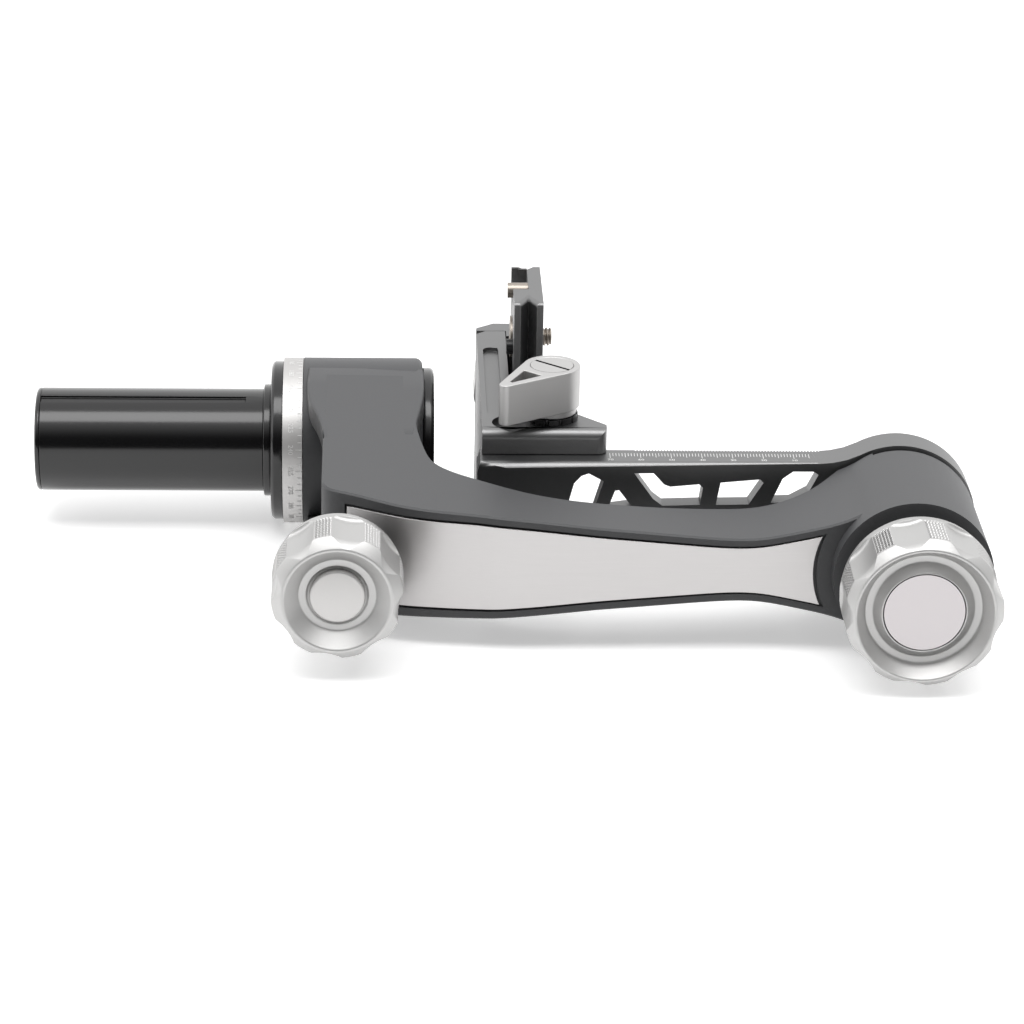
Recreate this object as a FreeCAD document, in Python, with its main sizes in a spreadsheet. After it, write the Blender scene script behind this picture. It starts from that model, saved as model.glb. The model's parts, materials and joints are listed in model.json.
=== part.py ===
"""Side-mount gimbal head with a 35 mm column, lying on its side.

The model is drawn about the point where the pan axis (X) crosses the tilt axis (Y): X runs along the column
towards the tilt drum, Z is up. Every piece is then moved by the same offset, so that the row's origin lies under
the middle of the whole head, at the height of the table.
"""
import FreeCAD, Part
import Sketcher
import math
import os
import re
from FreeCAD import Placement, Rotation, Vector

doc = FreeCAD.newDocument("gimbal_head")
sheet = doc.addObject("Spreadsheet::Sheet", "sizes")

SIZES = {
    # pan drum and column, along the pan axis
    "drum_inner_x": 154.3, "drum_length": 40.2, "drum_r": 28.2, "drum_cap_r": 25.0, "drum_cap_t": 3.9,
    "ring_gap": 0.2, "ring_width": 6.6, "ring_r": 28.2, "ring_bore_r": 24.0,
    "flange_width": 4.1, "flange_r": 27.0, "collar_width": 2.7, "collar_r": 19.1,
    "column_length": 75.3, "column_r": 17.5, "column_bore_r": 13.5, "column_cap_t": 1.7,
    "column_key_width": 3.0, "column_key_depth": 0.9, "thread_r": 4.0, "plug_length": 14.0,
    # ball bearings, one size throughout
    "bearing_bore_r": 10.0, "bearing_outer_r": 16.0, "bearing_width": 7.0, "ball_r": 1.75, "ball_count": 11,
    "race_wall": 1.9, "ball_play": 0.05, "lip_to_bearing": 1.0, "drum_end_room": 4.7, "sleeve_r": 12.0,
    "nut_width": 3.0, "nut_step": 3.0, "circlip_t": 1.2, "circlip_depth": 0.6, "circlip_width": 1.5,
    # arm
    "leg_left_x": 187.2, "leg_right_x": 157.0, "face_y": 111.8, "limb_depth": 23.8,
    "tilt_drum_r": 25.5, "tilt_drum_front_y": 117.5, "tilt_drum_back_y": 70.0, "tilt_neck_r": 20.5,
    "face_chamfer": 0.6,
    "inlay_inset": 2.55, "inlay_t": 1.2, "inlay_proud": 0.25, "inlay_gap": 0.35, "inlay_end_r": 30.3,
    # locks
    "pan_knob_x": 181.6, "lock_boss_r": 8.5, "stud_r": 4.0, "running_gap": 0.05, "pad_t": 2.5, "pad_r": 4.7,
    "pad_travel": 1.25,
    "tilt_knob_r": 24.8, "tilt_knob_front_y": 147.5, "tilt_knob_back_y": 123.5, "tilt_knob_lobes": 9,
    "scallop_r": 18.0, "scallop_depth": 1.45, "knob_collar": 4.8,
    "pan_knob_r": 20.7, "pan_knob_front_y": 137.5, "pan_knob_back_y": 113.0, "pan_knob_lobes": 8,
    # swing arm
    "hub_r": 26.0, "hub_front_y": 69.1, "hub_back_y": 57.6, "rail_half_width": 19.5, "rail_end_x": 137.0,
    "tooth_pitch": 1.0, "tooth_depth": 0.7, "rack_start_x": 85.3, "rack_end_x": 24.7,
    "tilt_bearing_gap": 19.0, "shaft_flange_r": 19.0, "shaft_flange_t": 4.0, "hub_screw_circle_r": 15.0,
    # platform
    "platform_half": 28.0, "block_end_x": 94.7, "platform_x": 135.4, "floor_x": 125.4, "block_front_y": 62.4,
    "block_back_y": 42.0, "platform_far_y": 41.2, "clamp_gap": 0.3, "flank_gap": 0.45,
    "lever_x": 112.7, "lever_y": 50.3, "lever_hub_r": 9.3, "lever_length": 26.0, "lever_tall": 14.9,
    "lever_ring_t": 3.5, "qr_lever_x": 128.3, "qr_hub_r": 7.5, "qr_lever_length": 20.0, "qr_lever_tall": 12.0,
    "qr_boss": 2.5,
    # lens plate
    "plate_near_x": 114.0, "plate_t": 9.8, "plate_near_y": 10.0, "plate_width": 38.0, "plate_top_z": 53.4,
    "plate_length": 80.0, "plate_groove": 3.2, "jaw_bite": 2.6, "camera_screw_r": 3.175, "camera_screw_z": 34.8,
}
for row, (alias, number) in enumerate(SIZES.items(), start=1):
    sheet.set(f"A{row}", str(number))
    sheet.setAlias(f"A{row}", alias)
doc.recompute()

made = []


def value(expression):
    """The number that an expression of the sheet's names stands for."""
    return float(sheet.evalExpression(str(expression)))


def named(expression):
    """The same expression with the sheet's name before each size, for an object outside the sheet."""
    return re.sub(r"\b(" + "|".join(SIZES) + r")\b", r"sizes.\1", str(expression))


def bind(item, prop, expression):
    item.setExpression(prop, named(expression))


# Where the pieces lie along the pan axis, from the tilt axis towards the column.
DRUM_OUTER = "(drum_inner_x + drum_length)"
RING_START = f"({DRUM_OUTER} + ring_gap)"
RING_END = f"({RING_START} + ring_width)"
FLANGE_END = f"({RING_END} + flange_width)"
COLUMN_START = f"({FLANGE_END} + collar_width)"
COLUMN_END = f"({COLUMN_START} + column_length)"
HEAD_END = f"({COLUMN_END} + column_cap_t)"

# The row's origin: the middle of the head's length and depth, and the table that the drum rests on.
QR_LEVER_END = "(platform_far_y + qr_boss + qr_lever_tall)"
ORIGIN_X = f"(({HEAD_END} - hub_r) / 2)"
ORIGIN_Y = f"((tilt_knob_front_y - {QR_LEVER_END}) / 2)"
ORIGIN_Z = "drum_r"


def wrapped(name, *items):
    """Pieces that keep their own places inside one object that can be moved."""
    group = doc.addObject("Part::Compound", name)
    group.Links = list(items)
    return group


def finish(item, label, right="0", back="0", up="0"):
    """Names a sub-part and moves it from its drawing place to its place in the row."""
    item.Label = label
    bind(item, "Placement.Base.x", f"{ORIGIN_X} + ({right})")
    bind(item, "Placement.Base.y", f"{ORIGIN_Y} + ({back})")
    bind(item, "Placement.Base.z", f"{ORIGIN_Z} + ({up})")
    made.append(item)
    return item


def place(item, right, back, up):
    bind(item, "Placement.Base.x", right)
    bind(item, "Placement.Base.y", back)
    bind(item, "Placement.Base.z", up)
    return item


TURNS = {
    "x": Rotation(Vector(0, 1, 0), 90),
    "y": Rotation(Vector(1, 0, 0), -90),
    "z": Rotation(),
}


def cylinder(name, axis, radius, start, end, across=("0", "0")):
    """A cylinder along an axis from one station to the next, with its other two coordinates in X, Y, Z order."""
    item = doc.addObject("Part::Cylinder", name)
    item.Placement = Placement(Vector(), TURNS[axis])
    bind(item, "Radius", radius)
    bind(item, "Height", f"({end}) - ({start})")
    spots = list(across)
    spots.insert("xyz".index(axis), start)
    return place(item, *spots)


def block(name, low, high):
    """A box between two corners."""
    item = doc.addObject("Part::Box", name)
    for side, low_end, high_end in zip(("Length", "Width", "Height"), low, high):
        bind(item, side, f"({high_end}) - ({low_end})")
    return place(item, *low)


def join(name, *pieces):
    item = doc.addObject("Part::MultiFuse", name)
    item.Shapes = list(pieces)
    return item


def cut(name, base, *tools):
    item = doc.addObject("Part::Cut", name)
    item.Base = base
    item.Tool = tools[0] if len(tools) == 1 else join(name + "_tools", *tools)
    return item


def new_body(name):
    return doc.addObject("PartDesign::Body", name)


def new_sketch(body, name, plane, offset="0"):
    """A sketch on one of the body's origin planes, moved along the plane's normal."""
    sketch = body.newObject("Sketcher::SketchObject", name)
    origin_plane = [feature for feature in body.Origin.OriginFeatures if feature.Role == plane][0]
    sketch.AttachmentSupport = (origin_plane, [""])
    sketch.MapMode = "FlatFace"
    bind(sketch, ".AttachmentOffset.Base.z", offset)
    return sketch


def fix_point(sketch, geometry, point, across, along):
    """Ties a point of a sketch to two expressions."""
    for kind, expression in (("DistanceX", across), ("DistanceY", along)):
        index = sketch.addConstraint(Sketcher.Constraint(kind, -1, 1, geometry, point, value(expression)))
        bind(sketch, f"Constraints[{index}]", expression)


def add_polygon(sketch, points):
    """A closed outline with straight sides through points given as expressions."""
    spots = [Vector(value(across), value(along), 0) for across, along in points]
    first = sketch.GeometryCount
    count = len(spots)
    sides = [Part.LineSegment(spots[i], spots[(i + 1) % count]) for i in range(count)]
    sketch.addGeometry(sides, False)
    for i in range(count):
        sketch.addConstraint(Sketcher.Constraint("Coincident", first + i, 2, first + (i + 1) % count, 1))
    for i, (across, along) in enumerate(points):
        fix_point(sketch, first + i, 1, across, along)


def add_circle(sketch, across, along, radius):
    circle = Part.Circle(Vector(value(across), value(along), 0), Vector(0, 0, 1), value(radius))
    index = sketch.addGeometry(circle, False)
    fix_point(sketch, index, 3, across, along)
    size = sketch.addConstraint(Sketcher.Constraint("Radius", index, value(radius)))
    bind(sketch, f"Constraints[{size}]", radius)


def pad(body, sketch, length, flip=False, middle=False):
    feature = body.newObject("PartDesign::Pad", sketch.Name + "_pad")
    feature.Profile = sketch
    feature.Reversed = flip
    feature.Midplane = middle
    bind(feature, "Length", length)
    sketch.Visibility = False
    return feature


def pocket(body, sketch, length, flip=False, middle=False):
    """A pocket that has to take material away."""
    before = body.Shape.Volume
    feature = body.newObject("PartDesign::Pocket", sketch.Name + "_pocket")
    feature.Profile = sketch
    feature.Reversed = flip
    feature.Midplane = middle
    bind(feature, "Length", length)
    doc.recompute()
    if not body.Shape.Volume < before:
        raise RuntimeError(f"{feature.Name} cuts nothing")
    return feature


def turned(label, axis, outline, right="0", back="0", up="0"):
    """A piece turned on a lathe about X, Y or Z, from points given as (station, radius)."""
    body = new_body(label + "_body")
    if axis == "x":
        sketch = new_sketch(body, label + "_section", "XY_Plane")
        add_polygon(sketch, outline)
    else:
        sketch = new_sketch(body, label + "_section", "XY_Plane" if axis == "y" else "XZ_Plane")
        add_polygon(sketch, [(radius, station) for station, radius in outline])
    feature = body.newObject("PartDesign::Revolution", label + "_turned")
    feature.Profile = sketch
    feature.ReferenceAxis = (sketch, ["H_Axis" if axis == "x" else "V_Axis"])
    feature.Angle = 360
    return finish(body, label, right, back, up)


def tube_section(start, end, inner, outer):
    return [(start, inner), (end, inner), (end, outer), (start, outer)]


# ---- base: the column and what turns with it about the pan axis ----
def column_tube():
    """A 35 mm tube, open at both ends, with a key groove along its top front."""
    wall = cylinder("column_outside", "x", "column_r", f"-{COLUMN_END}", f"-{COLUMN_START}")
    inside = cylinder("column_inside", "x", "column_bore_r", f"-{COLUMN_END} - 1", f"-{COLUMN_START} + 1")
    key = block("column_key", (f"-{COLUMN_END} - 1", "-column_key_width / 2", "column_r - column_key_depth"),
                (f"-{COLUMN_START} - 6", "column_key_width / 2", "column_r + 1"))
    key.Placement = Placement(Vector(), Rotation(Vector(1, 0, 0), 35))
    tilt = math.radians(35)
    reach, side = "(column_r - column_key_depth)", "(column_key_width / 2)"
    place(key, f"-{COLUMN_END} - 1", f"-{side} * {math.cos(tilt):.6f} - {reach} * {math.sin(tilt):.6f}",
          f"-{side} * {math.sin(tilt):.6f} + {reach} * {math.cos(tilt):.6f}")
    finish(cut("column_tube_shape", wall, inside, key), "column_tube")


def column_end_cap():
    """The end plate, with a plug inside the tube and the blind threaded bore that a tripod's screw goes into."""
    plug_end = f"(-{COLUMN_END} + plug_length)"
    turned("column_end_cap", "x", [
        (f"-{HEAD_END}", "thread_r"), (f"{plug_end} - 2", "thread_r"), (f"{plug_end} - 2", "0"), (plug_end, "0"),
        (plug_end, "column_bore_r"), (f"-{COLUMN_END}", "column_bore_r"), (f"-{COLUMN_END}", "column_r"),
        (f"-{HEAD_END} + 0.7", "column_r"), (f"-{HEAD_END}", "column_r - 0.7")])


def base_flange_pieces():
    """The stepped collar, the wide flange with the boss that centres the scale ring, and the ring itself."""
    turned("base_collar", "x", tube_section(f"-{COLUMN_START}", f"-{FLANGE_END}", "sleeve_r", "collar_r"))
    boss_end = f"-{RING_START} - 0.5"
    turned("base_flange", "x", [
        (f"-{FLANGE_END}", "sleeve_r"), (boss_end, "sleeve_r"), (boss_end, "ring_bore_r"),
        (f"-{RING_END}", "ring_bore_r"), (f"-{RING_END}", "flange_r"), (f"-{FLANGE_END} + 1", "flange_r"),
        (f"-{FLANGE_END}", "flange_r - 1")])
    turned("degree_ring", "x", tube_section(f"-{RING_END}", f"-{RING_START}", "ring_bore_r", "ring_r"))


FRONT_BEARING = (f"(-{DRUM_OUTER} + lip_to_bearing)", f"(-{DRUM_OUTER} + lip_to_bearing + bearing_width)")
PAN_BEARING_GAP = "(drum_length - 2 * bearing_width - drum_end_room)"
REAR_BEARING = (f"({FRONT_BEARING[1]} + {PAN_BEARING_GAP})",
                f"({FRONT_BEARING[1]} + {PAN_BEARING_GAP} + bearing_width)")
PAN_NUT_END = f"({REAR_BEARING[1]} + nut_width)"
NUT_R = "(bearing_outer_r - nut_step)"


def pan_spindle():
    """The steel spindle: pressed into the column, shouldered through the flange, journal for the bearings."""
    shoulder = FRONT_BEARING[0]
    turned("pan_spindle", "x", [
        (f"-{COLUMN_START} - 20", "0"), (PAN_NUT_END, "0"), (PAN_NUT_END, "bearing_bore_r"),
        (shoulder, "bearing_bore_r"), (shoulder, "sleeve_r"), (f"-{COLUMN_START}", "sleeve_r"),
        (f"-{COLUMN_START}", "column_bore_r"), (f"-{COLUMN_START} - 20", "column_bore_r")])
    turned("pan_brake_sleeve", "x", tube_section(FRONT_BEARING[1], REAR_BEARING[0], "bearing_bore_r", "sleeve_r"))
    turned("pan_spindle_nut", "x", tube_section(REAR_BEARING[1], PAN_NUT_END, "bearing_bore_r", NUT_R))


# ---- ball bearings ----
PITCH_R = "((bearing_bore_r + bearing_outer_r) / 2)"


def races(label, axis, seats, inner):
    """The inner or the outer races of a pair of bearings, each with its ball groove."""
    rings = []
    for index, (start, end) in enumerate(seats):
        low = "bearing_bore_r" if inner else "(bearing_outer_r - race_wall)"
        high = "(bearing_bore_r + race_wall)" if inner else "bearing_outer_r"
        name = f"{label}_{index}"
        outside = cylinder(name + "_outside", axis, high, start, end)
        inside = cylinder(name + "_inside", axis, low, f"{start} - 1", f"{end} + 1")
        groove = doc.addObject("Part::Torus", name + "_groove")
        groove.Placement = Placement(Vector(), TURNS[axis])
        bind(groove, "Radius1", PITCH_R)
        bind(groove, "Radius2", "ball_r + ball_play")
        middle = f"({start} + {end}) / 2"
        place(groove, *[middle if letter == axis else "0" for letter in "xyz"])
        rings.append(cut(name + "_ring", outside, inside, groove))
    finish(join(label + "_pair", *rings), label)


def bearing_balls(label, axis, seats):
    """The balls of a pair of bearings, evenly spaced on the pitch circle."""
    balls = []
    count = int(value("ball_count"))
    for index, (start, end) in enumerate(seats):
        for step in range(count):
            turn = 2 * math.pi * step / count
            ball = doc.addObject("Part::Sphere", f"{label}_{index}_{step}")
            bind(ball, "Radius", "ball_r")
            around = [f"{PITCH_R} * {math.cos(turn):.6f}", f"{PITCH_R} * {math.sin(turn):.6f}"]
            around.insert("xyz".index(axis), f"({start} + {end}) / 2")
            place(ball, *around)
            balls.append(ball)
    finish(wrapped(label + "_group", *balls), label)


PAN_SEATS = [FRONT_BEARING, REAR_BEARING]


# ---- arm: the J-shaped casting that carries both drums ----
TILT_NEAR = ("(-tilt_drum_back_y - 1.6 - bearing_width)", "(-tilt_drum_back_y - 1.6)")
TILT_FAR = (f"({TILT_NEAR[0]} - tilt_bearing_gap - bearing_width)", f"({TILT_NEAR[0]} - tilt_bearing_gap)")
TILT_SEATS = [TILT_NEAR, TILT_FAR]
SHAFT_END = f"({TILT_FAR[0]} - nut_width)"
SLEEVE_FACE = "(-sleeve_r - running_gap)"
PAD_ROOM = "(pad_t + pad_travel + 0.1)"


def smooth(points, first=None, last=None):
    """A smooth curve through points, with its end directions where they are given."""
    curve = Part.BSplineCurve()
    spots = [Vector(*point) for point in points]
    if first and last:
        curve.interpolate(Points=spots, InitialTangent=Vector(*first), FinalTangent=Vector(*last))
    else:
        curve.interpolate(Points=spots)
    return curve.toShape()


LEG_DRAFT, LIMB_DRAFT = 0.085, 0.02


def face_curve(inset):
    """The outer face from above: straight along the limb, rounded back into the leg."""
    face, left = -value("face_y") + inset, -value("leg_left_x")
    return smooth([(left, face + 22.8, 0), (left + 8, face + 14.3, 0), (left + 25, face + 6.3, 0),
                   (left + 50, face + 1.4, 0), (left + 78, face, 0)], (0, -20, 0), (30, 0, 0))


EDGE_HEIGHTS = [(-3, 18.9), (18.8, 18.7), (34.5, 18.1), (50.2, 17.7), (62.8, 16.8), (75.4, 15.5), (88, 14.1),
                (100.6, 13.0), (113.3, 11.9), (125.9, 10.9), (138.6, 10.9), (151.2, 13.2), (163.2, 16.2),
                (172, 20.2)]
MEETING_X, MEETING_SLOPE = 9.0, 0.38


def edge_curve(inset, depth=0):
    """The upper edge of the limb, seen from the front: high at the leg, waisted, then tangent to the tilt drum.

    At a depth behind the face the leg has risen by its draft, and the limb hardly at all.
    """
    left, face = -value("leg_left_x"), -value("face_y")
    drafts = [(0, LEG_DRAFT), (35, LEG_DRAFT), (75, 0.03), (110, LIMB_DRAFT), (150, LIMB_DRAFT), (172, 0)]
    spots = []
    for along, height in EDGE_HEIGHTS:
        pairs = [(start, end) for start, end in zip(drafts, drafts[1:]) if start[0] <= max(along, 0) <= end[0]]
        (low, first), (high, last) = pairs[0]
        draft = first + (last - first) * (max(along, 0) - low) / (high - low)
        spots.append((left + along, face + depth, height - inset + draft * depth))
    top = math.sqrt(value("tilt_drum_r") ** 2 - MEETING_X ** 2) - 0.05
    spots.append((-MEETING_X, face + depth, top - inset))
    return smooth(spots, (30, 0, 0), (30, 0, 30 * MEETING_SLOPE))


def closed_face(curve, *corners):
    """The flat face between a curve and a run of corners."""
    ends = [curve.Vertexes[0].Point, curve.Vertexes[-1].Point]
    run = [ends[1]] + [Vector(*corner) for corner in corners] + [ends[0]]
    sides = [Part.makeLine(run[i], run[i + 1]) for i in range(len(run) - 1)]
    return Part.Face(Part.Wire([curve] + sides))


def between_edges(inset, drafted):
    """The space between the upper and lower edge curves, from the face to the pan axis and a little in front."""
    sections = []
    for depth in (0 if drafted else -5, value("face_y")):
        curve = edge_curve(inset, depth if drafted else 0)
        if not drafted:
            curve.translate(Vector(0, depth, 0))
        start, end = curve.Vertexes[0].Point, curve.Vertexes[-1].Point
        sections.append(closed_face(curve, (end.x, end.y, -60), (start.x, start.y, -60)).OuterWire)
    under = Part.makeLoft(sections, True, True)
    return under.common(under.mirror(Vector(), Vector(0, 0, 1)))


def arm_plan():
    """The J outline from above, up to both drums."""
    face, left, right = -value("face_y"), -value("leg_left_x"), -value("leg_right_x")
    limb = face + value("limb_depth")
    outer = face_curve(0)
    inner = smooth([(right, -40, 0), (right + 2.8, limb + 23.2, 0), (right + 5.8, limb + 14, 0),
                    (right + 10.5, limb + 9, 0), (right + 20, limb + 3.5, 0), (right + 36, limb - 2.6, 0),
                    (right + 58, limb - 4, 0), (right + 78, limb - 2.9, 0), (right + 104, limb + 0.5, 0),
                    (right + 122, limb + 4, 0), (right + 130, limb + 10, 0), (right + 137, limb + 17.5, 0)],
                   (0, -20, 0), (10, 10, 0))
    tip = inner.Vertexes[-1].Point
    straight = outer.Vertexes[-1].Point
    corners = [straight, Vector(-MEETING_X, face, 0), Vector(-MEETING_X, tip.y, 0), tip]
    top = [inner.Vertexes[0].Point, Vector(right, -10, 0), Vector(left, -10, 0), outer.Vertexes[0].Point]
    lines = [Part.makeLine(*pair) for run in (corners, top) for pair in zip(run, run[1:])]
    return Part.Face(Part.Wire(Part.__sortEdges__([outer, inner] + lines)))


def arm_blank():
    """The limb and the leg in one piece, with the edge of the outer face bevelled."""
    half = value("drum_r")
    slab = arm_plan().extrude(Vector(0, 0, 2 * half))
    slab.translate(Vector(0, 0, -half))
    limb = slab.common(between_edges(0, True)).removeSplitter()
    outer_edges = []
    for edge in limb.Edges:
        middle = edge.valueAt((edge.FirstParameter + edge.LastParameter) / 2)
        on_face = face_curve(0).distToShape(Part.Vertex(Vector(middle.x, middle.y, 0)))[0] < 0.05
        on_front = abs(middle.y + value("face_y")) < 0.05
        if (on_face or on_front) and abs(middle.z) > 8 and middle.x < -24 and edge.Length > 20:
            outer_edges.append(edge)
    limb = limb.makeChamfer(value("face_chamfer"), outer_edges)
    blank = doc.addObject("Part::Feature", "arm_limb")
    blank.Shape = limb
    return blank


def inlay_shape(name, outside, inside, inset, end_r):
    """A thin skin of the outer face: its curve from above, the edge curves inset, and a round end at the drum."""
    front, back = face_curve(-outside), face_curve(inside)
    tip_x = -value("tilt_drum_r")
    ends = [curve.Vertexes for curve in (front, back)]
    lines = [Part.makeLine(ends[0][-1].Point, Vector(tip_x, ends[0][-1].Point.y, 0)),
             Part.makeLine(Vector(tip_x, ends[0][-1].Point.y, 0), Vector(tip_x, ends[1][-1].Point.y, 0)),
             Part.makeLine(Vector(tip_x, ends[1][-1].Point.y, 0), ends[1][-1].Point),
             Part.makeLine(ends[0][0].Point, ends[1][0].Point)]
    strip = Part.Face(Part.Wire(Part.__sortEdges__([front, back] + lines))).extrude(Vector(0, 0, 60))
    strip.translate(Vector(0, 0, -30))
    skin = strip.common(between_edges(inset, False))
    left = -value("leg_left_x") + 7.5 + (inset - value("inlay_inset"))
    half_box = Part.makeBox(40, 90, 80, Vector(left - 40, -value("face_y") - 5, -40))
    round_end = Part.makeCylinder(end_r, 40, Vector(0, -value("face_y") - 20, 0), Vector(0, 1, 0))
    boss_r = value("lock_boss_r") + end_r - value("inlay_end_r")
    boss = Part.makeCylinder(boss_r, 40, Vector(-value("pan_knob_x"), -value("face_y") - 5, 0), Vector(0, 1, 0))
    skin = skin.cut(half_box).cut(round_end).cut(boss)
    item = doc.addObject("Part::Feature", name)
    item.Shape = skin
    return item


def rounded_drum(drum, axis, radius):
    """The drum with the rim of its far end rounded."""
    soft = doc.addObject("Part::Fillet", drum.Name + "_rounded")
    soft.Base = drum
    doc.recompute()
    far = getattr(drum.Shape.BoundBox, axis + "Max") - 0.1
    soft.Edges = [(index, radius, radius) for index, edge in enumerate(drum.Shape.Edges, start=1)
                  if getattr(edge.BoundBox, axis + "Min") > far]
    return soft


def arm():
    limb = arm_blank()
    drum = rounded_drum(cylinder("pan_drum", "x", "drum_r", f"-{DRUM_OUTER}", "-drum_inner_x"), "X", 2.5)
    tilt_drum = rounded_drum(cylinder("tilt_drum", "y", "tilt_drum_r", "-tilt_drum_front_y", "-tilt_drum_back_y"),
                             "Y", 2.5)
    neck = cylinder("tilt_neck", "y", "tilt_neck_r", "-tilt_knob_back_y + 0.5", "-tilt_drum_front_y + 1")
    boss = cylinder("pan_lock_boss", "y", "lock_boss_r", "-pan_knob_back_y + 0.5", "-face_y + 21",
                    ("-pan_knob_x", "0"))
    solid = join("arm_solid", limb, drum, tilt_drum, neck, boss)
    seat, clear = "bearing_outer_r", "(bearing_outer_r - race_wall)"
    pan_bores = [
        cylinder("front_seat", "x", seat, f"-{DRUM_OUTER} - 1", FRONT_BEARING[1]),
        cylinder("sleeve_room", "x", clear, f"{FRONT_BEARING[1]} - 1", f"{REAR_BEARING[0]} + 1"),
        cylinder("rear_seat", "x", seat, REAR_BEARING[0], "-drum_inner_x + 1"),
        cylinder("pan_circlip_groove", "x", f"{seat} + circlip_depth", REAR_BEARING[1],
                 f"{REAR_BEARING[1]} + circlip_t"),
        cylinder("pan_stud_hole", "y", "stud_r + running_gap", "-pan_knob_back_y - 1", "-20",
                 ("-pan_knob_x", "0")),
        cylinder("pan_pad_bore", "y", "pad_r + running_gap", f"{SLEEVE_FACE} - {PAD_ROOM}", "-4",
                 ("-pan_knob_x", "0"))]
    bind(pan_bores[4], "Height", f"pan_knob_back_y + 1 + {SLEEVE_FACE} - {PAD_ROOM} + 1")
    tilt_bores = [
        cylinder("tilt_seat", "y", seat, TILT_FAR[0], "-tilt_drum_back_y + 1"),
        cylinder("tilt_circlip_groove", "y", f"{seat} + circlip_depth", TILT_NEAR[1],
                 f"{TILT_NEAR[1]} + circlip_t"),
        cylinder("tilt_nut_room", "y", clear, f"{SHAFT_END} - 0.3", f"{TILT_FAR[0]} + 1"),
        cylinder("tilt_pad_bore", "y", "pad_r + running_gap", f"{SHAFT_END} - running_gap - {PAD_ROOM}",
                 f"{SHAFT_END}"),
        cylinder("tilt_stud_hole", "y", "stud_r + running_gap", "-tilt_knob_back_y - 1",
                 f"{SHAFT_END} - 1")]
    recess = inlay_shape("inlay_recess", 3, value("inlay_t"), value("inlay_inset"), value("inlay_end_r"))
    finish(cut("arm_casting", solid, recess, *pan_bores, *tilt_bores), "arm")


def arm_inlay_plate():
    gap = value("inlay_gap")
    plate = inlay_shape("inlay_blank", value("inlay_proud"), value("inlay_t"), value("inlay_inset") + gap,
                        value("inlay_end_r") + gap)
    finish(wrapped("inlay_plate", plate), "arm_inlay_plate")


def arm_fittings():
    """The drum's cap, the retaining rings and the spacer between the outer races of the tilt bearings."""
    cap_in = "(-drum_inner_x)"
    turned("pan_end_cap", "x", [
        (f"{cap_in} - 1.2", f"{NUT_R} + 0.6"), (f"{cap_in} + 0.8", f"{NUT_R} + 0.6"), (f"{cap_in} + 0.8", "0"),
        (f"{cap_in} + drum_cap_t", "0"), (f"{cap_in} + drum_cap_t", "drum_cap_r - 1"),
        (f"{cap_in} + drum_cap_t - 1", "drum_cap_r"), (cap_in, "drum_cap_r"), (cap_in, "bearing_outer_r"),
        (f"{cap_in} - 1.2", "bearing_outer_r")])
    for label, axis, start in (("pan_circlip", "x", REAR_BEARING[1]), ("tilt_circlip", "y", TILT_NEAR[1])):
        ring = tube_section(start, f"{start} + circlip_t", "bearing_outer_r - circlip_width",
                            "bearing_outer_r + circlip_depth")
        turned(label, axis, ring)
    turned("tilt_outer_spacer", "y", tube_section(TILT_FAR[1], TILT_NEAR[0], "bearing_outer_r - race_wall",
                                                  "bearing_outer_r"))


# ---- lock knobs ----
PAN_SCALLOP_TURN, TILT_SCALLOP_TURN = 80.5, 102.0


def lobed_knob(label, size, front, back, lobes, turn, rim, ring, disc, sink, right):
    """A knob turned with a dished front, then scalloped between its lobes. The disc's seat stays open.

    The middle of its first scallop stands at the given turn above the X axis, in degrees.
    """
    dish, seat = f"({ring} - 2.3)", f"({disc} + 0.1)"
    outline = [(f"-{back}", "stud_r"), (f"-{back}", f"{size} - 1.6"), (f"-{back} - 1", f"{size} - 0.8"),
               (f"-{back} - knob_collar + 0.8", f"{size} - 0.8"), (f"-{back} - knob_collar", size),
               (f"-{front} + 3.2", size), (f"-{front}", rim), (f"-{front}", f"{rim} - 0.8"),
               (f"-{front} + 1.9", f"{ring} + 0.4"), (f"-{front} + 1.2", ring), (f"-{front} + 1.2", dish),
               (f"-{front} + {sink} + 0.3", seat), (f"-{front} + 6.2", seat), (f"-{front} + 6.2", "stud_r")]
    knob = turned(label, "y", outline, right)
    doc.recompute()
    sketch = new_sketch(knob, label + "_scallop", "XZ_Plane", f"{back} + knob_collar")
    reach, lean = f"({size} + scallop_r - scallop_depth)", math.radians(turn)
    add_circle(sketch, f"{reach} * {math.cos(lean):.6f}", f"{reach} * {math.sin(lean):.6f}", "scallop_r")
    doc.recompute()
    scallop = pocket(knob, sketch, f"{front} - {back}", flip=True)
    pattern = knob.newObject("PartDesign::PolarPattern", label + "_scallops")
    pattern.Originals = [scallop]
    pattern.Axis = (sketch, ["N_Axis"])
    pattern.Angle = 360
    pattern.Occurrences = int(value(lobes))
    knob.Tip = pattern
    doc.recompute()


def lock(prefix, size, front, back, lobes, turn, rim, ring, disc_name, disc, sink, face, right):
    """A knob with its disc, the threaded stud it turns, and the pad that the stud presses."""
    lobed_knob(prefix + "_lock_knob", size, front, back, lobes, turn, rim, ring, disc, sink, right)
    disc_end = f"(-{front} + 6.2)"
    turned(prefix + disc_name, "y", [
        (f"-{front} + {sink}", "0"), (f"-{front} + {sink}", disc), (disc_end, disc), (disc_end, "0")], right)
    tip = f"({face} - {PAD_ROOM} + 0.1)"
    turned(prefix + "_lock_stud", "y", [
        (disc_end, "0"), (disc_end, "stud_r"), (f"{tip} - 0.8", "stud_r"),
        (tip, "stud_r - 0.8"), (tip, "0")], right)
    turned(prefix + "_brake_pad", "y", [
        (f"{face} - pad_t", "0"), (f"{face} - pad_t", "pad_r"), (face, "pad_r"), (face, "0")], right)


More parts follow.
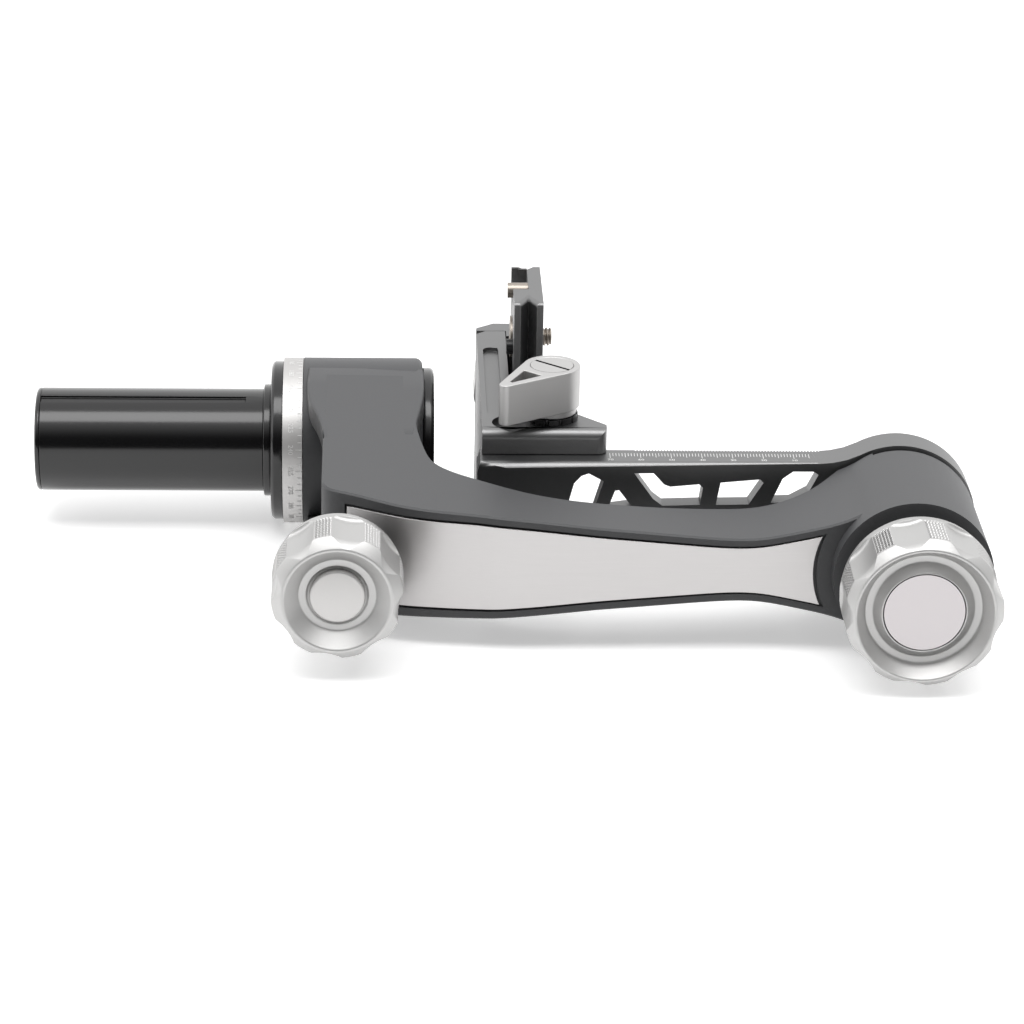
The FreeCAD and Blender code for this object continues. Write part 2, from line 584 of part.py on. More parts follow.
# ---- swing arm: hub and rail in one, with what turns on the tilt axis ----
TRUSS = [
    [(-108, 2.5), (-105.5, 12.2), (-103.2, 14.8), (-100.8, 15.7), (-95.9, 13), (-99, 2.5)],
    [(-94.5, 3), (-92.1, 9.7), (-90.8, 9.9), (-86.5, 4.2)],
    [(-86, 15.8), (-79.7, 15.9), (-76.2, 12), (-74.2, 11.2), (-64.8, 12.1), (-63.5, 10.9), (-64.3, 5),
     (-76.6, 4.6), (-79.7, 7)],
    [(-57.8, 12.7), (-44.9, 13.9), (-43.8, 12.7), (-48.4, 5.2), (-59.1, 5)],
    [(-37.6, 14.2), (-34.3, 16.7), (-27.6, 16.7), (-26, 15.6), (-29.1, 9.3), (-34.7, 6.1), (-41.2, 5.8)],
]
TONGUE_BACK = "(-hub_back_y + 3.4)"
TONGUE_ROOT = "(rail_half_width - 5.5)"
TONGUE_HALF = "(rail_half_width - 3)"


def swing_arm():
    """A flat hub that runs into a rail with truss cut-outs, a dovetail tongue behind, and a fine rack."""
    body = new_body("swing_arm_body")
    half = "rail_half_width"
    thick = "(hub_front_y - hub_back_y)"
    hub = new_sketch(body, "hub_circle", "XZ_Plane", "hub_back_y")
    add_circle(hub, "0", "0", "hub_r")
    pad(body, hub, thick)
    rail = new_sketch(body, "rail_outline", "XZ_Plane", "hub_back_y")
    blend = [("-26.2", half), ("-21.5", f"{half} + 0.4"), ("-16.9", f"{half} + 1.45"), ("-12.2", f"{half} + 3.4")]
    upper = [("-rail_end_x + 1", half)] + blend
    lower = [(across, f"-({along})") for across, along in reversed(upper)]
    ends = [("-rail_end_x", f"-{half} + 3"), ("-rail_end_x", f"{half} - 3")]
    add_polygon(rail, upper + [("0", f"{half} - 2"), ("0", f"-{half} + 2")] + lower + ends)
    pad(body, rail, thick)
    tongue = new_sketch(body, "tongue_section", "YZ_Plane", "-rail_end_x")
    front = "-hub_back_y - 0.5"
    add_polygon(tongue, [(front, TONGUE_ROOT), ("-hub_back_y", TONGUE_ROOT), (TONGUE_BACK, TONGUE_HALF),
                         (TONGUE_BACK, f"-{TONGUE_HALF}"), ("-hub_back_y", f"-{TONGUE_ROOT}"),
                         (front, f"-{TONGUE_ROOT}")])
    pad(body, tongue, "rail_end_x - hub_r + 1.5")
    holes = new_sketch(body, "truss_holes", "XZ_Plane", "hub_back_y - 5")
    for outline in TRUSS:
        for side in (1, -1):
            add_polygon(holes, [(f"{across}", f"{side * along} * {half} / 19.5") for across, along in outline])
    doc.recompute()
    pocket(body, holes, f"{thick} + 8", flip=True)
    bore = new_sketch(body, "shaft_bore", "XZ_Plane", "hub_front_y")
    add_circle(bore, "0", "0", "bearing_bore_r")
    doc.recompute()
    pocket(body, bore, thick)
    seat = new_sketch(body, "shaft_flange_seat", "XZ_Plane", "hub_back_y")
    add_circle(seat, "0", "0", "shaft_flange_r + running_gap")
    doc.recompute()
    pocket(body, seat, "shaft_flange_t + 0.5", flip=True)
    holes = new_sketch(body, "hub_screw_holes", "XZ_Plane", "hub_back_y + shaft_flange_t")
    for turn in (45, 135, 225, 315):
        lean = math.radians(turn)
        add_circle(holes, f"hub_screw_circle_r * {math.cos(lean):.6f}",
                   f"hub_screw_circle_r * {math.sin(lean):.6f}", "1.7")
    doc.recompute()
    pocket(body, holes, "4.5", flip=True)
    doc.recompute()
    teeth = []
    count = int(round((value("rack_start_x") - value("rack_end_x")) / value("tooth_pitch")))
    for index in range(count):
        start = f"-rack_start_x + {index} * tooth_pitch"
        teeth.append(block(f"rack_gap_{index}", (start, "-hub_back_y - tooth_depth", f"{half} - 2"),
                           (f"{start} + tooth_pitch / 2", "-hub_back_y + 0.1", f"{half} + 1")))
    stops = [cylinder(f"stop_screw_hole_{side}", "y", "1.6", f"{TONGUE_BACK} - 6", f"{TONGUE_BACK} + 1",
                      ("-rail_end_x + 5", side)) for side in ("7", "-7")]
    finish(cut("swing_arm_shape", body, *teeth, *stops), "swing_arm")


def tilt_pieces():
    """The flanged shaft screwed to the hub, the nut on its far end, and the spacer between the inner races."""
    face = "(-hub_back_y - 0.5)"
    root = f"({face} - shaft_flange_t)"
    flange = cylinder("shaft_flange", "y", "shaft_flange_r", root, face)
    rod = cylinder("shaft_rod", "y", "bearing_bore_r", SHAFT_END, root)
    collar = cylinder("shaft_collar", "y", "sleeve_r", TILT_NEAR[1], "-hub_front_y")
    holes, screws = [], []
    for index, turn in enumerate((45, 135, 225, 315)):
        lean = math.radians(turn)
        spot = (f"hub_screw_circle_r * {math.cos(lean):.6f}", f"hub_screw_circle_r * {math.sin(lean):.6f}")
        holes.append(cylinder(f"shaft_hole_{index}", "y", "1.75", f"{root} - 1", f"{face} + 1", spot))
        holes.append(cylinder(f"shaft_counterbore_{index}", "y", "2.95", f"{face} - 2.4", f"{face} + 1", spot))
        shank = cylinder(f"hub_screw_shank_{index}", "y", "1.65", f"{root} - 3.5", f"{face} - 2", spot)
        head = cylinder(f"hub_screw_head_{index}", "y", "2.8", f"{face} - 2.4", f"{face} - 0.1", spot)
        socket = cylinder(f"hub_screw_socket_{index}", "y", "1.3", f"{face} - 1.4", f"{face} + 1", spot)
        screws.append(cut(f"hub_screw_{index}", join(f"hub_screw_solid_{index}", shank, head), socket))
    finish(cut("tilt_shaft_shape", join("shaft_solid", flange, rod, collar), *holes), "tilt_shaft")
    finish(wrapped("hub_screw_group", *screws), "hub_screws")
    turned("tilt_inner_spacer", "y", tube_section(TILT_FAR[1], TILT_NEAR[0], "bearing_bore_r", "sleeve_r"))
    turned("tilt_shaft_nut", "y", tube_section(SHAFT_END, TILT_FAR[0], "bearing_bore_r", NUT_R))
    stops = []
    for index, side in enumerate(("7", "-7")):
        spot = ("-rail_end_x + 5", side)
        shank = cylinder(f"stop_shank_{index}", "y", "1.5", f"{TONGUE_BACK} - 5", f"{TONGUE_BACK} + 0.1", spot)
        head = cylinder(f"stop_head_{index}", "y", "2.4", TONGUE_BACK, f"{TONGUE_BACK} + 1.6", spot)
        stops.append(join(f"stop_screw_{index}", shank, head))
    finish(wrapped("stop_screw_group", *stops), "rail_stop_screws")


# ---- platform: an L bracket that clamps on the rail and carries the plate clamp ----
PLATE_FAR_Y = "(plate_width - plate_near_y)"
PLATE_BACK_X = "(plate_near_x + plate_t)"
PLATE_MID_X = "(plate_near_x + plate_t / 2)"
FIXED_FACE = "(-plate_near_y - clamp_gap)"
MOVING_FACE = f"({PLATE_FAR_Y} + clamp_gap)"
JAW_FACE_X = "(plate_near_x - 0.2)"
SPLIT_Y = f"({MOVING_FACE} + 5)"
JAW_TOP = f"(-{TONGUE_HALF} - 0.6)"
STOP_ROOM = "2.2"


def v_lip(face, sign):
    """The V-shaped lip of a plate jaw: three points, from its foot nearest the camera side to the other."""
    half = "(jaw_bite * 0.8)"
    return [(f"-{PLATE_MID_X} + {half}", face), (f"-{PLATE_MID_X}", f"{face} + {sign} * jaw_bite"),
            (f"-{PLATE_MID_X} - {half}", face)]


def platform():
    body = new_body("platform_body")
    plan = new_sketch(body, "platform_plan", "XY_Plane")
    lip = v_lip(FIXED_FACE, 1)
    add_polygon(plan, [
        ("-platform_x", "-block_front_y"), ("-block_end_x", "-block_front_y"),
        ("-block_end_x", "-block_front_y + 5.5"), ("-block_end_x - 9", "-block_front_y + 15"),
        (f"-{JAW_FACE_X}", "-block_back_y + 14"), (f"-{JAW_FACE_X}", FIXED_FACE)] + lip + [
        ("-floor_x", FIXED_FACE), ("-floor_x", SPLIT_Y), ("-platform_x", SPLIT_Y)])
    pad(body, plan, "2 * platform_half", middle=True)
    channel = new_sketch(body, "rail_channel", "YZ_Plane", "-platform_x - 1")
    room = "(rail_half_width + clamp_gap)"
    root, flank = f"({TONGUE_ROOT} + flank_gap)", f"({TONGUE_HALF} + flank_gap)"
    back = f"({TONGUE_BACK} + clamp_gap)"
    lip_back = "(-hub_back_y + clamp_gap)"
    add_polygon(channel, [
        ("-block_front_y - 1", room), (lip_back, room), (lip_back, root), (back, flank), (back, JAW_TOP),
        ("-block_back_y + 14.5", JAW_TOP), ("-block_back_y + 14.5", "-platform_half - 1"),
        ("-block_front_y - 1", "-platform_half - 1")])
    doc.recompute()
    pocket(body, channel, "platform_x - block_end_x + 3", flip=True)
    keep = block("wall_below_block", ("-platform_x", "-block_back_y", "-platform_half"),
                 ("-floor_x - 1", "-block_back_y + 15", JAW_TOP))
    solid = join("platform_solid", body, keep)
    spot = ("-lever_x", "-lever_y")
    qr_spot = ("-qr_lever_x", "0")
    tools = [
        cylinder("height_screw_hole", "z", "2.6", "-platform_half - 1", "platform_half + 1", spot),
        cylinder("tip_pocket", "z", "6.3", "platform_half - 2.5", "platform_half + 1", ("-125.8", "-55.0")),
        cylinder("qr_screw_hole", "y", "2.25", "-8", f"{SPLIT_Y} + 1", qr_spot),
        block("side_recess", ("-platform_x + 2.9", "-14.5", "platform_half - 1.2"),
              ("-platform_x + 6.9", "16.2", "platform_half + 1")),
        block("stop_screw_room", ("-platform_x - 1", f"{TONGUE_BACK}", "-11"),
              ("-block_end_x + 1", f"{TONGUE_BACK} + {STOP_ROOM}", "11")),
    ]
    for side in ("17", "-17"):
        tools.append(cylinder(f"guide_hole_{side.strip('-')}_{len(side)}", "y", "2.05", "12", f"{SPLIT_Y} + 1",
                              ("-qr_lever_x - 1.5", side)))
    finish(cut("platform_shape", solid, *tools), "platform")


def height_jaw():
    """The moving jaw below the rail, on which the clamp screw pulls."""
    body = new_body("height_jaw_body")
    section = new_sketch(body, "height_jaw_section", "YZ_Plane", "-platform_x + 0.5")
    lip_back = "(-hub_back_y + clamp_gap)"
    back = f"({TONGUE_BACK} + clamp_gap)"
    room = "(-rail_half_width - clamp_gap)"
    top = f"({JAW_TOP} - 0.3)"
    add_polygon(section, [
        ("-block_front_y", room), ("-block_front_y", "-platform_half"), ("-block_back_y - 0.3", "-platform_half"),
        ("-block_back_y - 0.3", top), (back, top), (back, f"-{TONGUE_HALF} - flank_gap"),
        (lip_back, f"-{TONGUE_ROOT} - flank_gap"), (lip_back, room)])
    pad(body, section, "platform_x - block_end_x - 9.5")
    doc.recompute()
    hole = cylinder("height_jaw_thread", "z", "2.55", "-platform_half - 1", "0", ("-lever_x", "-lever_y"))
    finish(cut("height_jaw_shape", body, hole), "height_jaw")


def qr_jaw():
    """The moving jaw of the plate clamp, with the two guide pins that keep it square."""
    body = new_body("qr_jaw_body")
    plan = new_sketch(body, "qr_jaw_plan", "XY_Plane")
    lip = list(reversed(v_lip(MOVING_FACE, -1)))
    add_polygon(plan, [
        ("-platform_x", f"{SPLIT_Y} + 0.3"), ("-floor_x + 0.3", f"{SPLIT_Y} + 0.3"),
        ("-floor_x + 0.3", MOVING_FACE)] + lip + [
        (f"-{JAW_FACE_X}", MOVING_FACE), (f"-{JAW_FACE_X}", "platform_far_y - 4"),
        (f"-{JAW_FACE_X} - 3", "platform_far_y"), ("-platform_x + 6", "platform_far_y"),
        ("-platform_x", "platform_far_y - 5")])
    pad(body, plan, "2 * platform_half", middle=True)
    doc.recompute()
    hole = cylinder("qr_jaw_hole", "y", "2.25", "10", "platform_far_y + 1", ("-qr_lever_x", "0"))
    seats = [cylinder(f"guide_seat_{index}", "y", "2", f"{SPLIT_Y} - 1", "platform_far_y - 2",
                      ("-qr_lever_x - 1.5", side)) for index, side in enumerate(("17", "-17"))]
    finish(cut("qr_jaw_shape", body, hole, *seats), "qr_jaw")
    pins = [cylinder(f"guide_pin_{index}", "y", "2", "18", "platform_far_y - 2", ("-qr_lever_x - 1.5", side))
            for index, side in enumerate(("17", "-17"))]
    finish(wrapped("guide_pin_group", *pins), "qr_guide_pins")


# ---- clamp levers ----
def clamp_lever(prefix, hub, length, tall, boss, turn, right, back, up, screw_r, screw_depth):
    """A teardrop lever on a boss, its slotted cap, the notched ring under it, and the screw that it turns.

    The lever is drawn with its axis on Z and its foot at zero, then turned into place.
    """
    tip_r, cap_r, cap_t = "2.2", f"({hub} - 2.3)", "1.5"
    body = new_body(prefix + "_lever_body")
    lean = f"(({hub} - {tip_r}) / {length})"
    side = f"sqrt(1 - {lean} * {lean})"
    circle = new_sketch(body, prefix + "_hub_circle", "XY_Plane", boss)
    add_circle(circle, "0", "0", hub)
    pad(body, circle, tall)
    arm_sketch = new_sketch(body, prefix + "_lever_side", "XY_Plane", boss)
    add_polygon(arm_sketch, [
        (f"{hub} * {lean}", f"{hub} * {side}"), (f"{hub} * {lean}", f"-{hub} * {side}"),
        (f"{length} + {tip_r} * {lean}", f"-{tip_r} * {side}"),
        (f"{length} + {tip_r} * {lean}", f"{tip_r} * {side}")])
    pad(body, arm_sketch, tall)
    tip = new_sketch(body, prefix + "_tip_circle", "XY_Plane", boss)
    add_circle(tip, length, "0", tip_r)
    pad(body, tip, tall)
    foot = new_sketch(body, prefix + "_boss_circle", "XY_Plane", "1")
    add_circle(foot, "0", "0", f"{hub} - 1")
    pad(body, foot, boss)
    doc.recompute()
    top = f"({boss} + {tall})"
    seat = new_sketch(body, prefix + "_cap_seat", "XY_Plane", top)
    add_circle(seat, "0", "0", f"{cap_r} + 0.1")
    doc.recompute()
    pocket(body, seat, cap_t)
    hollow = new_sketch(body, prefix + "_tip_hollow", "XY_Plane", top)
    add_polygon(hollow, [(f"{hub} + 0.6", "-3.6"), (f"{length} - 2.5", "-0.5"), (f"{length} - 2.5", "0.5"),
                         (f"{hub} + 0.6", "3.6")])
    doc.recompute()
    pocket(body, hollow, "3")
    bore = new_sketch(body, prefix + "_screw_seat", "XY_Plane", top)
    add_circle(bore, "0", "0", screw_r)
    doc.recompute()
    pocket(body, bore, f"{top} + 1")
    cap = cylinder(prefix + "_cap_disc", "z", cap_r, f"{top} - {cap_t}", f"{top} - 0.1")
    slot = block(prefix + "_cap_slot", ("-0.55", f"-{cap_r}", f"{top} - 0.9"), ("0.55", cap_r, f"{top} + 1"))
    ring_out = cylinder(prefix + "_ring_out", "z", f"{hub} - 0.5", "0.05", "1")
    ring_in = cylinder(prefix + "_ring_in", "z", screw_r, "-1", "2")
    notches = []
    for index in range(12):
        notch = cylinder(f"{prefix}_notch_{index}", "z", "0.6", "-1", "2", (
            f"({hub} - 0.5) * {math.cos(index * math.pi / 6):.6f}",
            f"({hub} - 0.5) * {math.sin(index * math.pi / 6):.6f}"))
        notches.append(notch)
    rod = cylinder(prefix + "_screw_rod", "z", screw_r, f"-{screw_depth}", f"{top} - {cap_t}")
    screw = wrapped(prefix + "_screw_single", rod)
    for item, label in ((body, "_lever"), (cut(prefix + "_cap_shape", cap, slot), "_lever_cap"),
                        (cut(prefix + "_ring_shape", ring_out, ring_in, *notches), "_lever_ring"),
                        (screw, "_screw")):
        item.Placement = Placement(Vector(), turn)
        finish(item, prefix + label, right, back, up)


def levers():
    height_turn = Rotation(Vector(0, 0, 1), -130.5)
    clamp_lever("height", "lever_hub_r", "(lever_length - 2.2)", "lever_tall",
                "lever_ring_t", height_turn, "-lever_x", "-lever_y", "platform_half", "2.5",
                "(2 * platform_half - 3)")
    qr_turn = Rotation(Vector(-1, 0, 0), 90) * Rotation(Vector(0, 0, 1), -100)
    clamp_lever("qr", "qr_hub_r", "qr_lever_length", "qr_lever_tall", "qr_boss", qr_turn, "-qr_lever_x",
                "platform_far_y", "0", "2.2", "(platform_far_y - 2)")


# ---- lens plate ----
def lens_plate():
    """A dovetail plate that stands in the clamp, with a slot for the camera screw and a notch for the end pin."""
    body = new_body("lens_plate_body")
    plan = new_sketch(body, "plate_plan", "XY_Plane", "plate_top_z - plate_length")
    half = "(plate_groove * 0.8)"
    near, far = "-plate_near_y", PLATE_FAR_Y
    front, back, middle = "-plate_near_x", f"-{PLATE_BACK_X}", f"-{PLATE_MID_X}"
    add_polygon(plan, [
        (back, near), (f"{middle} - {half}", near), (middle, f"{near} + plate_groove"),
        (f"{middle} + {half}", near), (front, near), (front, far), (f"{middle} + {half}", far), (middle, f"{far} - plate_groove"),
        (f"{middle} - {half}", far), (back, far)])
    pad(body, plan, "plate_length")
    middle_y = f"({near} + plate_width / 2)"
    slot_low = "(plate_top_z - plate_length + 14)"
    screw_room = "(camera_screw_r + 0.1)"
    tools = [
        block("camera_slot", (f"{back} - 1", f"{middle_y} - {screw_room}", slot_low),
              (f"{front} + 1", f"{middle_y} + {screw_room}", "camera_screw_z")),
        cylinder("camera_slot_top", "x", screw_room, f"{back} - 1", f"{front} + 1", (middle_y, "camera_screw_z")),
        cylinder("camera_slot_low", "x", screw_room, f"{back} - 1", f"{front} + 1", (middle_y, slot_low)),
        block("head_slot", (f"{back} - 1", f"{middle_y} - 7.3", slot_low),
              (f"{back} + 2.6", f"{middle_y} + 7.3", "camera_screw_z")),
        cylinder("head_slot_top", "x", "7.3", f"{back} - 1", f"{back} + 2.6", (middle_y, "camera_screw_z")),
        block("end_notch", (f"{back} - 1", f"{middle_y} - 4.5", "plate_top_z - 6.4"),
              (f"{back} + 5.2", f"{far} - 1.2", "plate_top_z + 1")),
        cylinder("end_pin_hole", "x", "2.65", f"{back} - 1", f"{back} + 8.1",
                 (f"{middle_y} + 3", "plate_top_z - 3")),
        cylinder("stop_screw_thread", "x", "1.5", f"{back} - 1", f"{back} + 4", (f"{middle_y} - 9.6", STOP_Z)),
    ]
    finish(cut("lens_plate_shape", body, *tools), "lens_plate")
    turn = (f"{middle_y} + 3", "plate_top_z - 3")
    pin = cylinder("end_pin_rod", "x", "2.6", f"{back} - 1.7", f"{back} + 8", turn)
    finish(wrapped("end_pin", pin), "plate_end_pin")
    spot = (f"{middle_y} - 9.6", STOP_Z)
    head = cylinder("stop_head", "x", "2.6", f"{back} - 2.2", back, spot)
    shank = cylinder("stop_shank", "x", "1.5", f"{back} - 0.5", f"{back} + 3.8", spot)
    socket = cylinder("stop_socket", "x", "1.3", f"{back} - 3", f"{back} - 0.9", spot)
    finish(cut("plate_stop_shape", join("plate_stop_solid", head, shank), socket), "plate_stop_screw")
    spot = (middle_y, "camera_screw_z")
    head = cylinder("camera_screw_head", "x", "7", f"{back} - 0.8", f"{back} + 2.5", spot)
    neck = cylinder("camera_screw_neck", "x", "camera_screw_r - 0.6", back, f"{front} + 0.5", spot)
    rod = cylinder("camera_screw_rod", "x", "camera_screw_r", f"{front} + 0.3", f"{front} + 3.8", spot)
    slot = block("camera_screw_slot", (f"{back} - 2", f"{middle_y} - 8", "camera_screw_z - 0.7"),
                 (f"{back} + 0.6", f"{middle_y} + 8", "camera_screw_z + 0.7"))
    finish(cut("camera_screw_shape", join("camera_screw_solid", head, neck, rod), slot), "camera_screw")


STOP_Z = "(platform_half + 6.6)"


def build():
    column_tube()
    column_end_cap()
    base_flange_pieces()
    pan_spindle()
    races("pan_inner_races", "x", PAN_SEATS, True)
    races("pan_outer_races", "x", PAN_SEATS, False)
    bearing_balls("pan_bearing_balls", "x", PAN_SEATS)
    races("tilt_inner_races", "y", TILT_SEATS, True)
    races("tilt_outer_races", "y", TILT_SEATS, False)
    bearing_balls("tilt_bearing_balls", "y", TILT_SEATS)
    arm()
    arm_inlay_plate()
    arm_fittings()
    lock("pan", "pan_knob_r", "pan_knob_front_y", "pan_knob_back_y", "pan_knob_lobes", PAN_SCALLOP_TURN, "17.9",
         "12.0", "_knob_button", "8.6", "1.3", SLEEVE_FACE, "-pan_knob_x")
    lock("tilt", "tilt_knob_r", "tilt_knob_front_y", "tilt_knob_back_y", "tilt_knob_lobes", TILT_SCALLOP_TURN,
         "21.8", "18.2", "_knob_disc", "12.6", "3.1", f"({SHAFT_END} - running_gap)", "0")
    swing_arm()
    tilt_pieces()
    platform()
    height_jaw()
    qr_jaw()
    levers()
    lens_plate()


build()
doc.recompute()
for item in doc.Objects:
    if "Invalid" in item.State or "Error" in item.State:
        raise RuntimeError(f"{item.Name} is {item.State}")
for item in made:
    if item.Shape.isNull() or not item.Shape.isValid():
        raise RuntimeError(f"{item.Label} has no valid shape")
os.makedirs("parts", exist_ok=True)
for item in made:
    item.Shape.exportStep(f"parts/{item.Label}.step")
print(len(made), "sub-parts written")
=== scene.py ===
"""Looks of a side-mount gimbal head that lies on its side: black column, cast arm, satin lock knobs and levers."""
import json
import math
import bmesh
import bpy
from mathutils import Matrix, Vector
from mathutils.bvhtree import BVHTree


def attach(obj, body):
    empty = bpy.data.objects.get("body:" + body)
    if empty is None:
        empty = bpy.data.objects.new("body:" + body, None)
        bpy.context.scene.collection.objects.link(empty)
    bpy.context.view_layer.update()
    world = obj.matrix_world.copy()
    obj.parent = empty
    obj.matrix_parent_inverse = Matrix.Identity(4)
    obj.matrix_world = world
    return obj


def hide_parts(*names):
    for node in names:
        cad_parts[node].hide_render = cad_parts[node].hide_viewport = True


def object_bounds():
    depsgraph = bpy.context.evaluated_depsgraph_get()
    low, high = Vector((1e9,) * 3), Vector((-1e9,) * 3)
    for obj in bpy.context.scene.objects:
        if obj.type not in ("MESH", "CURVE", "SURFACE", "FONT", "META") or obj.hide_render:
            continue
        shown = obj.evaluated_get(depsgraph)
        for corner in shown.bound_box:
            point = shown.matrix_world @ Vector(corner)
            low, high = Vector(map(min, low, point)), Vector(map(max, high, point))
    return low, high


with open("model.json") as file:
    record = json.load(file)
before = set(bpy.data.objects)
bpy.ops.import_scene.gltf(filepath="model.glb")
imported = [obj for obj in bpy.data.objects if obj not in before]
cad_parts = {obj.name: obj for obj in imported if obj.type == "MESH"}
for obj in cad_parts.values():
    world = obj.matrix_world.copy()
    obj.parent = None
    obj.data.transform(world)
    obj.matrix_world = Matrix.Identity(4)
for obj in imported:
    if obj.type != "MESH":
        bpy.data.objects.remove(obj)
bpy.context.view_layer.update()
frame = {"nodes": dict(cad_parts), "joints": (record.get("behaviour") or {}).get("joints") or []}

# The bench and the camera.
# The head lies on a white table under a large soft box, with a weaker one on the left. Everything is placed from the
# point where the pan axis meets the tilt axis, in millimetres.
MM = 0.001
joints = {joint["name"]: joint for joint in frame["joints"]}
axis_cross = Vector((joints["tilt"]["pos_m"][0], joints["pan"]["pos_m"][1], joints["pan"]["pos_m"][2]))


def at(x, y, z):
    """A point in metres from its millimetres right of, behind and above the crossing of the axes."""
    return axis_cross + Vector((x, y, z)) * MM


scene = bpy.context.scene
scene.view_settings.view_transform = "Standard"

CAMERA_FROM_CROSS = (-168.18, -1243.54, 484.09)
CAMERA_HEADING, CAMERA_DOWN, CAMERA_ROLL = -2.08, 22.3, 1.06
SENSOR, LENS, CLIP_NEAR, CLIP_FAR = 36.0, 137.1, 0.05, 20.0
camera_data = bpy.data.cameras.new("bench_camera")
camera_data.sensor_width = SENSOR
camera_data.lens = LENS
camera_data.clip_start, camera_data.clip_end = CLIP_NEAR, CLIP_FAR
camera = bpy.data.objects.new("bench_camera", camera_data)
scene.collection.objects.link(camera)
turn = Matrix.Rotation(math.radians(CAMERA_HEADING), 4, "Z")
turn = turn @ Matrix.Rotation(math.radians(90 - CAMERA_DOWN), 4, "X")
turn = turn @ Matrix.Rotation(math.radians(CAMERA_ROLL), 4, "Z")
camera.matrix_world = Matrix.Translation(at(*CAMERA_FROM_CROSS)) @ turn
scene.camera = camera

# Each lamp has its place from the middle of the head, its width and depth, all in metres, and its watts.
HEAD_MIDDLE = at(-130, -45, 0)
LAMPS = {"overhead_box": ((0.0, -0.26, 0.94), (1.3, 0.42), 7.6), "left_box": ((-1.2, -0.1, 0.5), (0.7, 0.9), 2.0)}
for name, (offset, size, watts) in LAMPS.items():
    lamp_data = bpy.data.lights.new(name, "AREA")
    lamp_data.shape = "RECTANGLE"
    lamp_data.size, lamp_data.size_y, lamp_data.energy = *size, watts
    lamp = bpy.data.objects.new(name, lamp_data)
    lamp.location = HEAD_MIDDLE + Vector(offset)
    lamp.rotation_mode = "QUATERNION"
    lamp.rotation_quaternion = (HEAD_MIDDLE - lamp.location).to_track_quat("-Z", "Y")
    scene.collection.objects.link(lamp)


def ray_kinds(tree, *kinds):
    """A mask that is one for any of the named kinds of ray."""
    path = tree.nodes.new("ShaderNodeLightPath")
    mask = path.outputs[kinds[0]]
    for kind in kinds[1:]:
        either = tree.nodes.new("ShaderNodeMath")
        either.operation = "MAXIMUM"
        tree.links.new(mask, either.inputs[0])
        tree.links.new(path.outputs[kind], either.inputs[1])
        mask = either.outputs[0]
    return mask


# The world is dark in front, where the camera stands, and bright above and behind. It is dimmer where it lights the
# head than in its gloss, and plain white to the camera.
DIM_FRONT, DIM_BACK, DIM_EDGES = 0.05, 1.1, (0.15, 1.1)
GLOSS_FRONT, GLOSS_BACK, GLOSS_EDGES = 0.04, 1.3, (-0.5, 0.7)
RISE_WEIGHT = 1.2
world = bpy.data.worlds.new("studio")
scene.world = world
world.use_nodes = True
tree = world.node_tree
tree.nodes.clear()
coordinate = tree.nodes.new("ShaderNodeTexCoord")
split = tree.nodes.new("ShaderNodeSeparateXYZ")
tree.links.new(coordinate.outputs["Generated"], split.inputs[0])
rise = tree.nodes.new("ShaderNodeMath")
rise.operation = "MULTIPLY_ADD"
rise.inputs[1].default_value = RISE_WEIGHT
tree.links.new(split.outputs["Z"], rise.inputs[0])
tree.links.new(split.outputs["Y"], rise.inputs[2])


def sky(front, back, edges):
    """A grey sky that brightens from the front to the top and the back."""
    ramp = tree.nodes.new("ShaderNodeMapRange")
    ramp.interpolation_type = "SMOOTHSTEP"
    ramp.inputs["From Min"].default_value, ramp.inputs["From Max"].default_value = edges
    ramp.inputs["To Min"].default_value, ramp.inputs["To Max"].default_value = front, back
    background = tree.nodes.new("ShaderNodeBackground")
    tree.links.new(rise.outputs[0], ramp.inputs["Value"])
    tree.links.new(ramp.outputs[0], background.inputs["Color"])
    return background.outputs[0]


def mixed(mask, first, second):
    """The first shader where the mask is zero, and the second where it is one."""
    mix = tree.nodes.new("ShaderNodeMixShader")
    for socket, source in zip(mix.inputs, (mask, first, second)):
        tree.links.new(source, socket)
    return mix.outputs[0]


white = tree.nodes.new("ShaderNodeBackground")
white.inputs["Color"].default_value = (1, 1, 1, 1)
seen = mixed(ray_kinds(tree, "Is Glossy Ray"), sky(DIM_FRONT, DIM_BACK, DIM_EDGES),
             sky(GLOSS_FRONT, GLOSS_BACK, GLOSS_EDGES))
seen = mixed(ray_kinds(tree, "Is Camera Ray"), seen, white.outputs[0])
out = tree.nodes.new("ShaderNodeOutputWorld")
tree.links.new(seen, out.inputs["Surface"])

# The table is a white sheet. It keeps a soft shadow, throws little light back on the head, and mirrors in metal.
TABLE_HALF, TABLE_WHITE, TABLE_DARK, CAMERA_GLOW, GLOSS_GLOW = 3.0, 0.80, 0.26, 0.46, 0.55
TABLE_ROUGHNESS, TABLE_SHINE = 0.45, 0.25
table_mesh = bpy.data.meshes.new("table")
bm = bmesh.new()
bmesh.ops.create_grid(bm, x_segments=1, y_segments=1, size=TABLE_HALF)
bm.to_mesh(table_mesh)
bm.free()
table = bpy.data.objects.new("table", table_mesh)
table.location = (HEAD_MIDDLE.x, HEAD_MIDDLE.y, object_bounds()[0].z)
scene.collection.objects.link(table)
table_paint = bpy.data.materials.new("table_white")
table_paint.use_nodes = True
tree = table_paint.node_tree
surface = tree.nodes["Principled BSDF"]
surface.inputs["Roughness"].default_value = TABLE_ROUGHNESS
surface.inputs["Specular IOR Level"].default_value = TABLE_SHINE
tone = tree.nodes.new("ShaderNodeMix")
tone.data_type = "RGBA"
tone.inputs["A"].default_value = (TABLE_DARK, TABLE_DARK, TABLE_DARK, 1)
tone.inputs["B"].default_value = (TABLE_WHITE, TABLE_WHITE, TABLE_WHITE, 1)
